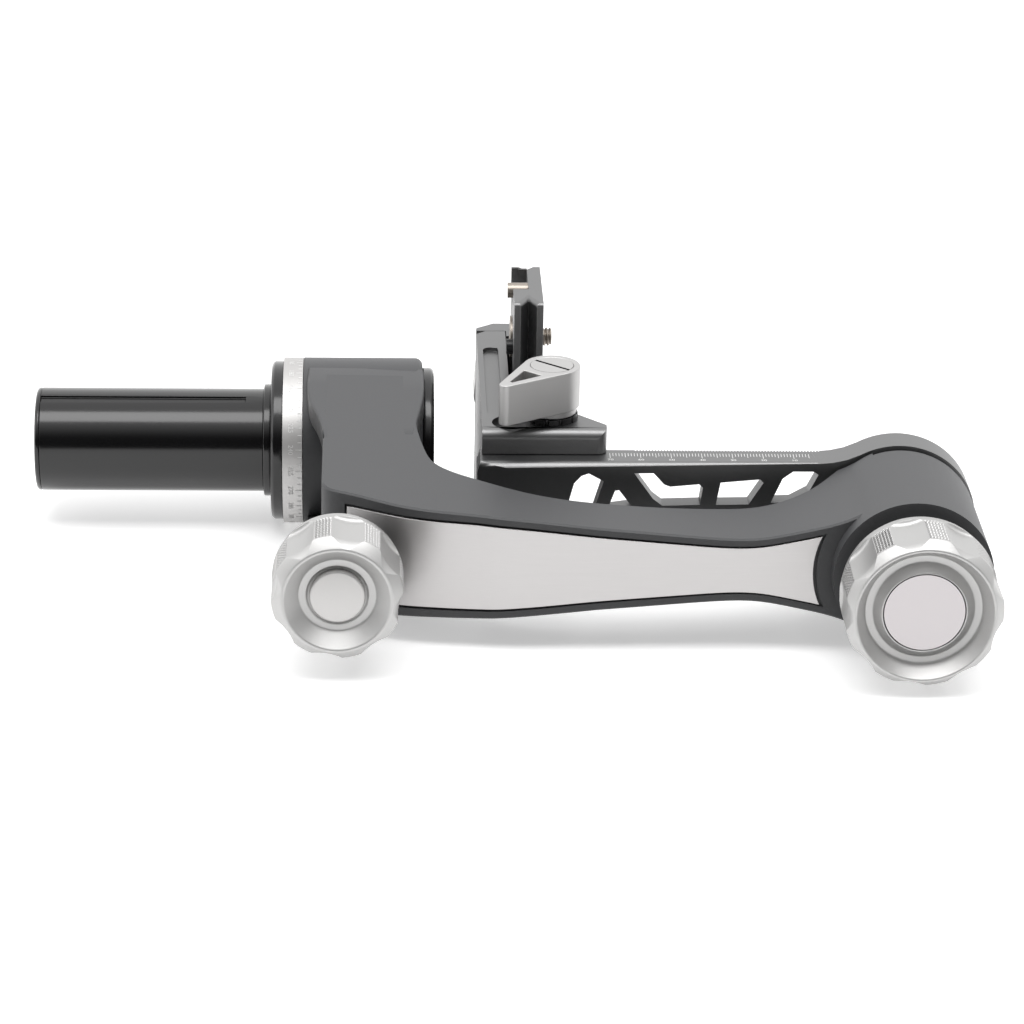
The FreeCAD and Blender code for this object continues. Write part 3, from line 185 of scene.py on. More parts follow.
tree.links.new(ray_kinds(tree, "Is Camera Ray", "Is Glossy Ray"), tone.inputs["Factor"])
tree.links.new(tone.outputs["Result"], surface.inputs["Base Color"])
total = surface.outputs[0]
for kind, strength in (("Is Camera Ray", CAMERA_GLOW), ("Is Glossy Ray", GLOSS_GLOW)):
    glow = tree.nodes.new("ShaderNodeEmission")
    glow.inputs["Color"].default_value = (strength, strength, strength, 1)
    tree.links.new(ray_kinds(tree, kind), glow.inputs["Strength"])
    add = tree.nodes.new("ShaderNodeAddShader")
    tree.links.new(total, add.inputs[0])
    tree.links.new(glow.outputs[0], add.inputs[1])
    total = add.outputs[0]
tree.links.new(total, tree.nodes["Material Output"].inputs["Surface"])
table_mesh.materials.append(table_paint)

# The column: a 35 mm aluminium tube, hard anodised gloss black, with a key groove along it. Its end plate is pressed
# in and threaded for a 3/8 inch stud, and a stepped collar seats it in the wide flange of the pan base.
GLOSS_BLACK = (0.006, 0.006, 0.0065)
COAT_ROUGHNESS = 0.12
GROOVE_TURN = math.radians(-17.5)


def group(name, ins, outs):
    """An empty node group with float or vector inputs and outputs."""
    made = bpy.data.node_groups.new(name, "ShaderNodeTree")
    for label, kind, value in ins:
        socket = made.interface.new_socket(label, in_out="INPUT", socket_type=kind)
        if value is not None:
            socket.default_value = value
    for label, kind in outs:
        made.interface.new_socket(label, in_out="OUTPUT", socket_type=kind)
    return made, made.nodes.new("NodeGroupInput"), made.nodes.new("NodeGroupOutput")


# Fine grain of a blasted or anodised skin: a height for bump, and slow drifts of tone and of gloss from handling.
skin, skin_in, skin_out = group(
    "metal_skin",
    [("Vector", "NodeSocketVector", None), ("Grain Scale", "NodeSocketFloat", 3000.0),
     ("Drift Scale", "NodeSocketFloat", 25.0), ("Gloss", "NodeSocketFloat", 0.4),
     ("Gloss Spread", "NodeSocketFloat", 0.08), ("Tone Spread", "NodeSocketFloat", 0.1)],
    [("Height", "NodeSocketFloat"), ("Roughness", "NodeSocketFloat"), ("Tone", "NodeSocketFloat")])
grain = skin.nodes.new("ShaderNodeTexNoise")
grain.inputs["Detail"].default_value = 2.0
drift = skin.nodes.new("ShaderNodeTexNoise")
drift.inputs["Detail"].default_value = 3.0
skin.links.new(skin_in.outputs["Vector"], grain.inputs["Vector"])
skin.links.new(skin_in.outputs["Vector"], drift.inputs["Vector"])
skin.links.new(skin_in.outputs["Grain Scale"], grain.inputs["Scale"])
skin.links.new(skin_in.outputs["Drift Scale"], drift.inputs["Scale"])
skin.links.new(grain.outputs[0], skin_out.inputs["Height"])


def math_node(nodes, links, kind, first, second):
    """A math node between two sockets or numbers."""
    node = nodes.new("ShaderNodeMath")
    node.operation = kind
    for socket, source in zip(node.inputs, (first, second)):
        if isinstance(source, (int, float)):
            socket.default_value = source
        else:
            links.new(source, socket)
    return node.outputs[0]


centred = math_node(skin.nodes, skin.links, "SUBTRACT", drift.outputs[0], 0.5)
swing_of_gloss = math_node(skin.nodes, skin.links, "MULTIPLY", centred, skin_in.outputs["Gloss Spread"])
gloss_out = math_node(skin.nodes, skin.links, "ADD", swing_of_gloss, skin_in.outputs["Gloss"])
skin.links.new(gloss_out, skin_out.inputs["Roughness"])
speck = math_node(skin.nodes, skin.links, "SUBTRACT", grain.outputs[0], 0.5)
both = math_node(skin.nodes, skin.links, "ADD", centred, speck)
swing_of_tone = math_node(skin.nodes, skin.links, "MULTIPLY", both, skin_in.outputs["Tone Spread"])
tone_out = math_node(skin.nodes, skin.links, "ADD", swing_of_tone, 1.0)
skin.links.new(tone_out, skin_out.inputs["Tone"])


def metal(name, colour, gloss, metallic=1.0, grain=3000.0, depth=0.004, drift=25.0, spread=0.08, tone=0.1,
          stretch=(1, 1, 1), coat=0.0, ior=None):
    """A metal finish: its colour and gloss drift a little, and its grain may be drawn out along one axis."""
    made = bpy.data.materials.new(name)
    made.use_nodes = True
    nodes, links = made.node_tree.nodes, made.node_tree.links
    shader = nodes["Principled BSDF"]
    shader.inputs["Metallic"].default_value = metallic
    shader.inputs["Coat Weight"].default_value = coat
    shader.inputs["Coat Roughness"].default_value = COAT_ROUGHNESS
    if ior:
        shader.inputs["IOR"].default_value = ior
    place = nodes.new("ShaderNodeTexCoord")
    lay = nodes.new("ShaderNodeMapping")
    lay.inputs["Scale"].default_value = stretch
    links.new(place.outputs["Object"], lay.inputs["Vector"])
    surface = nodes.new("ShaderNodeGroup")
    surface.node_tree = skin
    for label, value in (("Grain Scale", grain), ("Drift Scale", drift), ("Gloss", gloss),
                         ("Gloss Spread", spread), ("Tone Spread", tone)):
        surface.inputs[label].default_value = value
    links.new(lay.outputs[0], surface.inputs["Vector"])
    links.new(surface.outputs["Roughness"], shader.inputs["Roughness"])
    tint = nodes.new("ShaderNodeVectorMath")
    tint.operation = "SCALE"
    tint.inputs[0].default_value = colour
    links.new(surface.outputs["Tone"], tint.inputs["Scale"])
    links.new(tint.outputs[0], shader.inputs["Base Color"])
    bump = nodes.new("ShaderNodeBump")
    bump.inputs["Strength"].default_value = 1.0
    bump.inputs["Distance"].default_value = depth * MM
    links.new(surface.outputs["Height"], bump.inputs["Height"])
    links.new(bump.outputs[0], shader.inputs["Normal"])
    return made


def dress(material, *nodes):
    """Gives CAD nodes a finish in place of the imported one."""
    for node in nodes:
        for place in frame["nodes"][node].material_slots:
            place.material = material


def mesh_piece(name, bm, material, body, *nodes):
    """A finished mesh: its material, the body it rides on and the CAD nodes it stands for."""
    mesh = bpy.data.meshes.new(name)
    bm.to_mesh(mesh)
    bm.free()
    mesh.materials.append(material)
    piece = bpy.data.objects.new(name, mesh)
    scene.collection.objects.link(piece)
    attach(piece, body)
    if nodes:
        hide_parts(*nodes)
    return piece


def solid_prism(outline, axis, low, high):
    """A closed prism for cutting. Its outline lies across the axis, in millimetres from the crossing of the axes."""
    bm = bmesh.new()
    rings = []
    for level in (low, high):
        spots = [point[:axis] + (level,) + point[axis:] for point in outline]
        rings.append([bm.verts.new(at(*spot)) for spot in spots])
    bm.faces.new(rings[0])
    bm.faces.new(rings[1])
    for index in range(len(outline)):
        beside = (index + 1) % len(outline)
        bm.faces.new((rings[0][index], rings[0][beside], rings[1][beside], rings[1][index]))
    bmesh.ops.recalc_face_normals(bm, faces=bm.faces)
    return bm


def carved(bm, cutters):
    """A mesh with cutters taken away from it."""
    holders = []
    for part in [bm] + cutters:
        mesh = bpy.data.meshes.new("carving")
        part.to_mesh(mesh)
        part.free()
        holders.append(bpy.data.objects.new("carving", mesh))
        scene.collection.objects.link(holders[-1])
    for cutter in holders[1:]:
        step = holders[0].modifiers.new("cut", "BOOLEAN")
        step.operation, step.solver, step.object = "DIFFERENCE", "EXACT", cutter
    result = bmesh.new()
    result.from_object(holders[0], bpy.context.evaluated_depsgraph_get())
    for holder in holders:
        mesh = holder.data
        bpy.data.objects.remove(holder)
        bpy.data.meshes.remove(mesh)
    return result


def about(point, change):
    """A turn or a stretch that leaves a point where it is."""
    return Matrix.Translation(point) @ change @ Matrix.Translation(-point)


def edge_middle(edge):
    """The middle of an edge, in millimetres from the crossing of the axes."""
    return ((edge.verts[0].co + edge.verts[1].co) / 2 - axis_cross) / MM


def bevelled(bm, edges, width, steps, clamp=True):
    """Rounds some edges of a mesh."""
    bmesh.ops.bevel(bm, geom=edges, offset=width * MM, segments=steps, affect="EDGES", profile=0.5, material=-1,
                    clamp_overlap=clamp)


def evened(piece):
    """Lets the large faces of a piece set its shading, so that they look flat up to their rounded edges."""
    piece.modifiers.new("even_normals", "WEIGHTED_NORMAL").weight = EVEN_WEIGHT
    return piece


WELD, FLAT_ANGLE, SHARP_ANGLE, WIDE_STEPS, EDGE_STEPS, EVEN_WEIGHT = 0.002, 0.4, 28, 6, 2, 80


def softened(node, body, material, width, wide=None, spare=None, place=None, cutters=(), shift=None):
    """A copy of a CAD node with its sharp edges broken.

    Wide pairs a test of an edge's middle with a larger width, and spare is a test of the edges to leave sharp. Shift
    pairs a test of a corner with a move. Tests get millimetres from the crossing of the axes.
    """
    bm = bmesh.new()
    bm.from_mesh(frame["nodes"][node].data)
    bmesh.ops.remove_doubles(bm, verts=bm.verts, dist=WELD * MM)
    if shift:
        for vertex in bm.verts:
            if shift[0]((vertex.co - axis_cross) / MM):
                vertex.co += Vector(shift[1]) * MM
    if cutters:
        bm = carved(bm, list(cutters))
        bmesh.ops.remove_doubles(bm, verts=bm.verts, dist=WELD * MM)
    bmesh.ops.dissolve_limit(bm, angle_limit=math.radians(FLAT_ANGLE), verts=bm.verts, edges=bm.edges)

    def corners(test):
        """The sharp edges whose middle passes a test."""
        return [edge for edge in bm.edges if len(edge.link_faces) == 2
                and edge.calc_face_angle(0.0) > math.radians(SHARP_ANGLE) and test(edge_middle(edge))]

    if wide:
        bevelled(bm, corners(wide[0]), wide[1], WIDE_STEPS, clamp=False)
    bevelled(bm, corners(lambda middle: not spare or not spare(middle)), width, EDGE_STEPS)
    for face in bm.faces:
        face.smooth = True
    if place:
        bmesh.ops.transform(bm, matrix=place, verts=bm.verts)
    return evened(mesh_piece(node, bm, material, body, node))


gloss_black = metal("gloss_black_anodising", GLOSS_BLACK, 0.17, metallic=0.0, grain=1800.0, depth=0.003, spread=0.05,
                    coat=0.15)
turn_column = about(axis_cross, Matrix.Rotation(GROOVE_TURN, 4, "X"))
softened("column_tube", "base", gloss_black, 0.25, place=turn_column)
softened("column_end_cap", "base", gloss_black, 0.5, place=turn_column)
softened("base_collar", "base", gloss_black, 0.5)
softened("base_flange", "base", gloss_black, 0.35)

# The pan scale: a satin silver ring that turns with the column, read against the edge of the drum. Its ticks stand
# every 5 degrees and its numbers every 15, all engraved and filled with white paint.
satin_silver = metal("satin_silver_anodising", (0.55, 0.542, 0.535), 0.5, grain=3500.0, depth=0.005, tone=0.06)
dress(satin_silver, "degree_ring")
engraving = metal("engraving_white_fill", (0.84, 0.84, 0.83), 0.6, metallic=0.0, grain=4000.0, depth=0.004, tone=0.05)
RING_LEFT, RING_RIGHT, RING_R, PAINT_LIFT = -201.3, -194.7, 28.2, 0.03
RING_ZERO, TICK_EVERY, NUMBER_EVERY = -164.3, 5, 15
TICK_HALF, TICK_LONG, TICK_SHORT, TICK_INSET, NUMBER_SIZE, NUMBER_INSET = 0.13, 2.2, 1.5, 0.15, 2.3, 2.7


def stamp_text(bm, text, size, place):
    """Adds a flat text, centred, to a mesh. The place function turns its millimetres across and up into a point."""
    letters = bpy.data.curves.new("letters", "FONT")
    letters.body, letters.size = text, size
    letters.align_x, letters.align_y = "CENTER", "CENTER"
    holder = bpy.data.objects.new("letters", letters)
    flat = bpy.data.meshes.new_from_object(holder)
    corners = [bm.verts.new(place(vertex.co.x, vertex.co.y)) for vertex in flat.vertices]
    for polygon in flat.polygons:
        bm.faces.new([corners[index] for index in polygon.vertices])
    bpy.data.objects.remove(holder)
    bpy.data.curves.remove(letters)
    bpy.data.meshes.remove(flat)


def stamp_bar(bm, low, high, place):
    """Adds a flat bar to a mesh in the same way."""
    bm.faces.new([bm.verts.new(place(*corner)) for corner in (low, (high[0], low[1]), high, (low[0], high[1]))])


def on_ring(degrees, down, right):
    """A point on the ring's paint: its degrees on the scale, with millimetres down from there and to the right."""
    lean = math.radians(RING_ZERO + degrees) + down / RING_R
    radius = RING_R + PAINT_LIFT
    return at(right, -radius * math.sin(lean), radius * math.cos(lean))


bm = bmesh.new()
for degrees in range(0, 360, TICK_EVERY):
    numbered = degrees % NUMBER_EVERY == 0
    tick_left = RING_RIGHT - (TICK_LONG if numbered else TICK_SHORT)
    stamp_bar(bm, (-TICK_HALF, tick_left), (TICK_HALF, RING_RIGHT - TICK_INSET),
              lambda down, right: on_ring(degrees, down, right))
    if numbered:
        stamp_text(bm, str(degrees), NUMBER_SIZE,
                   lambda down, up: on_ring(degrees, down, RING_LEFT + NUMBER_INSET + up))
mesh_piece("pan_scale_paint", bm, engraving, "base")

# The arm: an aluminium casting with a drum at each end, bead-blasted and anodised dark grey. A gloss black cap closes
# the pan drum.
blasted = metal("blasted_grey_casting", (0.066, 0.067, 0.070), 0.5, metallic=0.0, grain=2600.0, depth=0.03, drift=18.0,
                tone=0.16)
softened("arm", "arm", blasted, 0.9)
softened("pan_end_cap", "arm", gloss_black, 0.6)

# The wings of the leg: its flat top and underside spread to the full length of the pan drum in a soft curve. They are
# of one casting with the arm, so each follows the leg's own surface and is rounded only along its outer rim.
LEG_LEFT, LEG_RIGHT, LEG_BACK, LEG_RISE, OVER_LEG = -186.0, -158.5, -11.0, 0.085, 60
WING_LIFT, WING_DEPTH, WING_EDGE, WING_STEPS, WING_SHARP = 0.02, 7.0, 0.9, 3, 40
RIM_LEFT, RIM_RIGHT, RIM_HEIGHT, RIM_LEVEL = -187.2, -157.0, 20.5, 2
WING_OUTLINE = [(-193.1, -4.5), (-193.1, -17), (-192.8, -23), (-192.1, -29), (-190.9, -35), (-189.5, -40),
                (-188.4, -45), (-187.6, -51), (-187.2, -58), (-157.1, -54), (-156.8, -49), (-156.1, -42),
                (-155.1, -35), (-154.3, -28), (-153.9, -21), (-153.8, -4.5)]
arm_shape = frame["nodes"]["arm"].data
arm_tree = BVHTree.FromPolygons([vertex.co for vertex in arm_shape.vertices],
                                [face.vertices for face in arm_shape.polygons])


def leg_top(spot):
    """The height of the leg's top at a spot. Beside and behind the leg it runs on."""
    right, back = min(max(spot.x, LEG_LEFT), LEG_RIGHT), min(spot.y, LEG_BACK)
    hit = arm_tree.ray_cast(at(right, back, OVER_LEG), Vector((0, 0, -1)))[0]
    return (hit - axis_cross).z / MM + LEG_RISE * (spot.y - back) + WING_LIFT


wings = bmesh.new()
for side in (1, -1):
    wing = solid_prism(WING_OUTLINE, 2, 0, 1)
    for vertex in wing.verts:
        spot = (vertex.co - axis_cross) / MM
        vertex.co = at(spot.x, spot.y, side * (leg_top(spot) - WING_DEPTH * (1 - spot.z)))
    holder = bpy.data.meshes.new("wing")
    wing.to_mesh(holder)
    wing.free()
    wings.from_mesh(holder)
    bpy.data.meshes.remove(holder)
bmesh.ops.recalc_face_normals(wings, faces=wings.faces)
rims = []
for edge in wings.edges:
    edge.smooth = len(edge.link_faces) != 2 or edge.calc_face_angle() < math.radians(WING_SHARP)
    spot = edge_middle(edge)
    level = abs(edge.verts[0].co.z - edge.verts[1].co.z) < RIM_LEVEL * MM
    if level and (spot.x < RIM_LEFT or spot.x > RIM_RIGHT) and abs(spot.z) > RIM_HEIGHT:
        edge.smooth = True
        rims.append(edge)
bevelled(wings, rims, WING_EDGE, WING_STEPS)
for face in wings.faces:
    face.smooth = True
evened(mesh_piece("arm_leg_wings", wings, blasted, "arm"))

# The inlay: a satin aluminium plate with a fine lengthwise brushing. It is let into the arm's outer face with a narrow
# gap all round.
brushed = metal("brushed_inlay", (0.50, 0.488, 0.485), 0.38, grain=2200.0, depth=0.006, drift=14.0, spread=0.05,
                tone=0.05, stretch=(0.04, 1, 1))
plate_shape = frame["nodes"]["arm_inlay_plate"].data
plate_middle = sum((vertex.co for vertex in plate_shape.vertices), Vector()) / len(plate_shape.vertices)
PLATE_PLAY = Matrix.Diagonal((0.993, 1, 0.968, 1))
softened("arm_inlay_plate", "arm", brushed, 0.15, place=about(plate_middle, PLATE_PLAY))

# The pan lock: a knob turned from aluminium bar, knurled, scalloped between its lobes and anodised satin silver.
# A bare button closes its bore, and the steel stud behind it presses a brass pad on the sleeve of the pan axis.
SILVER = (0.50, 0.497, 0.492)
turned_silver = metal("turned_satin_silver", SILVER, 0.5, grain=2600.0, depth=0.004, spread=0.06, tone=0.05)
# The knurled faces get a darker copy of the silver. It is painted shade for the light that the knurl traps.
knurl_shaded_silver = metal("knurl_shaded_satin_silver", (0.45, 0.447, 0.443), 0.36, grain=2600.0, depth=0.004, tone=0.05)
KNURL_STEP, KNURL_ROW, KNURL_PERIOD, KNURL_DEPTH, CROSS_DEPTH = 0.36, 0.64, 3, 0.42, 0.34
KNURL_FRONT, KNURL_MARGIN, KNURL_SIDE_MARGIN = 3.7, 1.2, 0.02
SCALLOP_R, SCALLOP_DEPTH, SCALLOP_FADE, SCALLOP_LEAST = 18.0, 1.45, 0.5, 0.2
SCALLOP_STEPS = (-0.975, -0.85, -0.65, -0.45, -0.22, 0, 0.22, 0.45, 0.65, 0.85, 0.975)
COLLAR, COLLAR_STEP, COLLAR_EDGE, RIM_WIDTH, RIM_BACK, STUD_R = 4.8, 0.8, 1, 0.8, 3.2, 4.0
FRONT_EASE, BACK_EASE, EASE_STEPS, EASE_SHARE, EASE_GUIDE, TURNED_STEPS = 0.4, 0.25, 3, 0.45, 2, 96


def eased(points, reach):
    """A run of points in which each inner corner is a short bend that starts reach before it."""
    run = [points[0]]
    for before, corner, after in zip(points, points[1:], points[2:]):
        before, corner, after = Vector(before), Vector(corner), Vector(after)
        near = corner + (before - corner).normalized() * min(reach, (before - corner).length * EASE_SHARE)
        far = corner + (after - corner).normalized() * min(reach, (after - corner).length * EASE_SHARE)
        for step in range(EASE_STEPS + 1):
            along = step / EASE_STEPS
            run.append(tuple(near * (1 - along) ** 2 + corner * 2 * along * (1 - along) + far * along ** 2))
    return run + [points[-1]]


def lathe(name, right, front, profile, material, body):
    """A turned piece about an axis that runs back, from its profile of (back, radius)."""
    bm = bmesh.new()
    line = [bm.verts.new(at(right + radius, front + back, 0)) for back, radius in profile]
    edges = [bm.edges.new(pair) for pair in zip(line, line[1:])]
    bmesh.ops.spin(bm, geom=line + edges, cent=at(right, front, 0), axis=(0, 1, 0), angle=2 * math.pi,
                   steps=TURNED_STEPS, use_merge=True)
    bmesh.ops.remove_doubles(bm, verts=bm.verts, dist=WELD / 2 * MM)
    bmesh.ops.recalc_face_normals(bm, faces=bm.faces)
    for face in bm.faces:
        face.smooth = True
    return mesh_piece(name, bm, material, body, name)


def half_scallop(size, radius, depth):
    """Half the angle that a scallop takes up at a radius, on a knob of a given size."""
    across = size + SCALLOP_R - depth
    cosine = (radius ** 2 + across ** 2 - SCALLOP_R ** 2) / (2 * radius * across)
    return math.acos(min(cosine, 1.0))


def lobed_knob(name, right, front, length, size, lobes, first_scallop, rim, dish, body):
    """A knob with knurled lobes. Its dish runs from the middle to the rim, as points of (back, radius)."""
    pitch = 2 * math.pi / lobes
    end = length - COLLAR
    collar_r = size - COLLAR_STEP
    widest = half_scallop(size, size, SCALLOP_DEPTH)
    bore_to_rim = [(dish[0][0], STUD_R)] + dish + [(0, rim - RIM_WIDTH), (0, rim), (RIM_BACK, size)]
    front_part = eased(bore_to_rim + [(RIM_BACK + EASE_GUIDE, size)], FRONT_EASE)[:-1]
    collar = [(end, size), (end + COLLAR_STEP, collar_r), (length - COLLAR_EDGE, collar_r),
              (length, collar_r - COLLAR_STEP), (length, STUD_R)]
    back_part = eased([(end - EASE_GUIDE, size)] + collar, BACK_EASE)[1:]
    knurl_length = end - KNURL_MARGIN - KNURL_FRONT
    knurled = round(knurl_length / KNURL_ROW)
    side = [(KNURL_FRONT + knurl_length * index / knurled, size) for index in range(knurled + 1)]
    rows = front_part + side + back_part
    first_side = len(front_part)
    ridge_count = round((pitch - 2 * widest) * size / KNURL_STEP)
    bm = bmesh.new()
    grid = []
    for row, (back, radius) in enumerate(rows):
        fade = min(max((end - back) / SCALLOP_FADE, 0.0), 1.0) if radius > dish[-1][1] else 0.0
        depth = SCALLOP_DEPTH * fade
        half = half_scallop(size, radius, depth) if depth > size - radius else 0.0
        half = max(half, widest * SCALLOP_LEAST)
        across = size + SCALLOP_R - depth
        room = pitch - 2 * half
        margin = room * KNURL_SIDE_MARGIN
        spots = [(half * step, 0) for step in SCALLOP_STEPS] + [(half, 0)]
        spots += [(half + margin + (room - 2 * margin) * index / ridge_count, index + 1)
                  for index in range(ridge_count + 1)]
        spots += [(pitch - half, 0)]
        line = []
        for lobe in range(lobes):
            for along, ridge in spots:
                here = radius
                inside = SCALLOP_R ** 2 - (across * math.sin(along)) ** 2
                if depth > 0 and inside > 0 and math.cos(along) > 0:
                    here = min(here, across * math.cos(along) - math.sqrt(inside))
                if ridge and first_side < row < first_side + knurled:
                    here -= max(KNURL_DEPTH * ((ridge - row) % KNURL_PERIOD == 0),
                                CROSS_DEPTH * ((ridge + row) % KNURL_PERIOD == 0))
                lean = math.radians(first_scallop) + lobe * pitch + along
                line.append(bm.verts.new(at(right + here * math.cos(lean), front + back, here * math.sin(lean))))
        grid.append(line)
    ridge_columns = {place for place, (_, ridge) in enumerate(spots) if ridge and place < len(spots) - 2}
    for row, line in enumerate(grid):
        below = grid[(row + 1) % len(grid)]
        for column in range(len(line)):
            beside = (column + 1) % len(line)
            a, b, c, d = line[column], line[beside], below[beside], below[column]
            # Knurled faces take the second slot, the darker silver that is painted as the knurl's shade.
            if column % len(spots) in ridge_columns and first_side <= row < first_side + knurled:
                for corners in ((a, b, c), (a, c, d)):
                    bm.faces.new(corners).material_index = 1
            else:
                bm.faces.new((a, b, c, d)).smooth = True
    bmesh.ops.recalc_face_normals(bm, faces=bm.faces)
    piece = mesh_piece(name, bm, turned_silver, body, name)
    # The second slot holds the darker silver, which is painted shade for the knurl.
    piece.data.materials.append(knurl_shaded_silver)


PAN_KNOB_X, PAN_KNOB_FRONT, PAN_KNOB_LENGTH, PAN_KNOB_R, PAN_KNOB_RIM = -181.6, -137.5, 24.5, 20.7, 17.4
PAN_LOBES, PAN_FIRST_SCALLOP, PAN_DISH = 8, 80.5, [(5.3, 9.3), (4.9, 9.9), (4.9, 12.0)]
BUTTON_R, BUTTON_FRONT, BUTTON_BACK, BUTTON_EASE = 8.8, 3.2, 5.2, 0.9
lobed_knob("pan_lock_knob", PAN_KNOB_X, PAN_KNOB_FRONT, PAN_KNOB_LENGTH, PAN_KNOB_R, PAN_LOBES, PAN_FIRST_SCALLOP,
           PAN_KNOB_RIM, PAN_DISH, "pan_knob")
button = [(BUTTON_FRONT, 0), (BUTTON_FRONT, BUTTON_R), (BUTTON_BACK, BUTTON_R), (BUTTON_BACK, 0)]
lathe("pan_knob_button", PAN_KNOB_X, PAN_KNOB_FRONT, eased(button, BUTTON_EASE), satin_silver, "pan_knob")

# The tilt lock: the same knob, larger, with nine lobes and a deeper middle, turned and anodised in the same way. Its
# bare disc is a thin aluminium plate, anodised a pale lilac grey and glued into the seat.
TILT_KNOB_FRONT, TILT_KNOB_LENGTH, TILT_KNOB_R, TILT_KNOB_RIM = -147.5, 24.0, 24.8, 22.2
TILT_LOBES, TILT_FIRST_SCALLOP = 9, 102
TILT_DISH = [(6.2, 12.9), (3.0, 12.9), (3.0, 13.3), (5.7, 15.9), (5.7, 18.2)]
lobed_knob("tilt_lock_knob", 0, TILT_KNOB_FRONT, TILT_KNOB_LENGTH, TILT_KNOB_R, TILT_LOBES, TILT_FIRST_SCALLOP,
           TILT_KNOB_RIM, TILT_DISH, "tilt_knob")
lilac_disc = metal("plain_disc_anodising", (0.52, 0.495, 0.503), 0.4, grain=3500.0, depth=0.004, tone=0.04)
dress(lilac_disc, "tilt_knob_disc")

# The swing arm: a milled plate with truss cut-outs, satin black. Its hub turns on the tilt shaft, and the top of its
# rail carries a millimetre scale in front of a fine rack. All its milled edges are broken.
satin_black = metal("satin_black_anodising", (0.010, 0.0102, 0.0112), 0.4, metallic=0.0, grain=3200.0, depth=0.008,
                    drift=30.0, spread=0.06, tone=0.2, ior=2.6)
WEB_LEFT, WEB_RIGHT, WEB_HALF, WEB_BACK, BEHIND_WEB = -109.5, -25.5, 13.9, -62.6, -48
RAIL_RIGHT, RAIL_FRONT, RAIL_EDGE, RAIL_ROUNDING = -27, -68.9, 19.4, 2.0
RACK_LEFT, RACK_RIGHT, RACK_FRONT, RACK_LOW = -86, -24, -60, 17.2


def oblong(left, right, low, high):
    """The outline of a rectangle."""
    return [(left, low), (right, low), (right, high), (left, high)]


web_recess = solid_prism(oblong(WEB_LEFT, WEB_RIGHT, -WEB_HALF, WEB_HALF), 1, WEB_BACK, BEHIND_WEB)
softened("swing_arm", "swing", satin_black, 0.35, cutters=[web_recess],
         wide=(lambda spot: spot.x < RAIL_RIGHT and spot.y < RAIL_FRONT and abs(spot.z) > RAIL_EDGE, RAIL_ROUNDING),
         spare=lambda spot: RACK_LEFT < spot.x < RACK_RIGHT and spot.y > RACK_FRONT and spot.z > RACK_LOW)
RAIL_TOP, SCALE_LEFT, SCALE_RIGHT, SCALE_HIGHEST = 19.5, -93.7, -28.7, 70
LINE_HALF, LINE_BACK, LINE_LONG, LINE_MEDIUM, LINE_SHORT = 0.09, -60.6, -64.8, -64.2, -63.2
FIGURE_SIZE, FIGURE_BACK = 2.0, -66.3


def on_rail(right, back):
    """A point on the rail's paint."""
    return at(right, back, RAIL_TOP + PAINT_LIFT)


bm = bmesh.new()
for step in range(round(SCALE_RIGHT - SCALE_LEFT) + 1):
    right = SCALE_LEFT + step
    end = LINE_LONG if step % 10 == 0 else LINE_MEDIUM if step % 5 == 0 else LINE_SHORT
    stamp_bar(bm, (right - LINE_HALF, end), (right + LINE_HALF, LINE_BACK), on_rail)
    if step % 10 == 0:
        stamp_text(bm, str(SCALE_HIGHEST - step), FIGURE_SIZE,
                   lambda across, up: on_rail(right + across, FIGURE_BACK + up))
mesh_piece("rail_scale_paint", bm, engraving, "swing")

# The platform: an L of satin black aluminium with a shallow channel along its edge and an opening behind the rail. Its
# block hooks over the rail and is rounded along its upper front edge. Both clamps' moving jaws are of the same bar.
CHANNEL_X, CHANNEL_HALF, CHANNEL_NEAR, CHANNEL_FAR, CHANNEL_FLOOR, OVER_CHANNEL = -130.9, 2.6, -46.0, 14.0, 26.7, 30
OPENING_LEFT, OPENING_RIGHT, OPENING_HALF, OPENING_FRONT, OPENING_BACK = -108.3, -90, 13, -54.5, -36
BLOCK_TOP, BLOCK_FRONT, BLOCK_RIGHT, BLOCK_ROUNDING = 27.9, -62.3, -95, 3.2
BACK_CORNER_X, BACK_CORNER_Y, BACK_CORNER_HALF = -135.2, 20, 20
channel_outline = [(CHANNEL_X + CHANNEL_HALF * math.cos(math.radians(degrees)) * side,
                    (CHANNEL_FAR if side > 0 else CHANNEL_NEAR) + CHANNEL_HALF * math.sin(math.radians(degrees)) * side)
                   for side in (1, -1) for degrees in range(0, 181, 15)]
channel = solid_prism(channel_outline, 2, CHANNEL_FLOOR, OVER_CHANNEL)
opening = solid_prism(oblong(OPENING_LEFT, OPENING_RIGHT, -OPENING_HALF, OPENING_HALF), 1, OPENING_FRONT, OPENING_BACK)


def platform_rounding(spot):
    """Whether an edge of the platform has the larger rounding, by its middle."""
    return (spot.y < BLOCK_FRONT and (spot.z > BLOCK_TOP or spot.x > BLOCK_RIGHT)
            or spot.x < BACK_CORNER_X and spot.y > BACK_CORNER_Y and abs(spot.z) < BACK_CORNER_HALF)


softened("platform", "platform", satin_black, 0.4, cutters=[channel, opening], wide=(platform_rounding, BLOCK_ROUNDING))
softened("height_jaw", "height_jaw", satin_black, 0.35)
softened("qr_jaw", "qr_jaw", satin_black, 0.45)
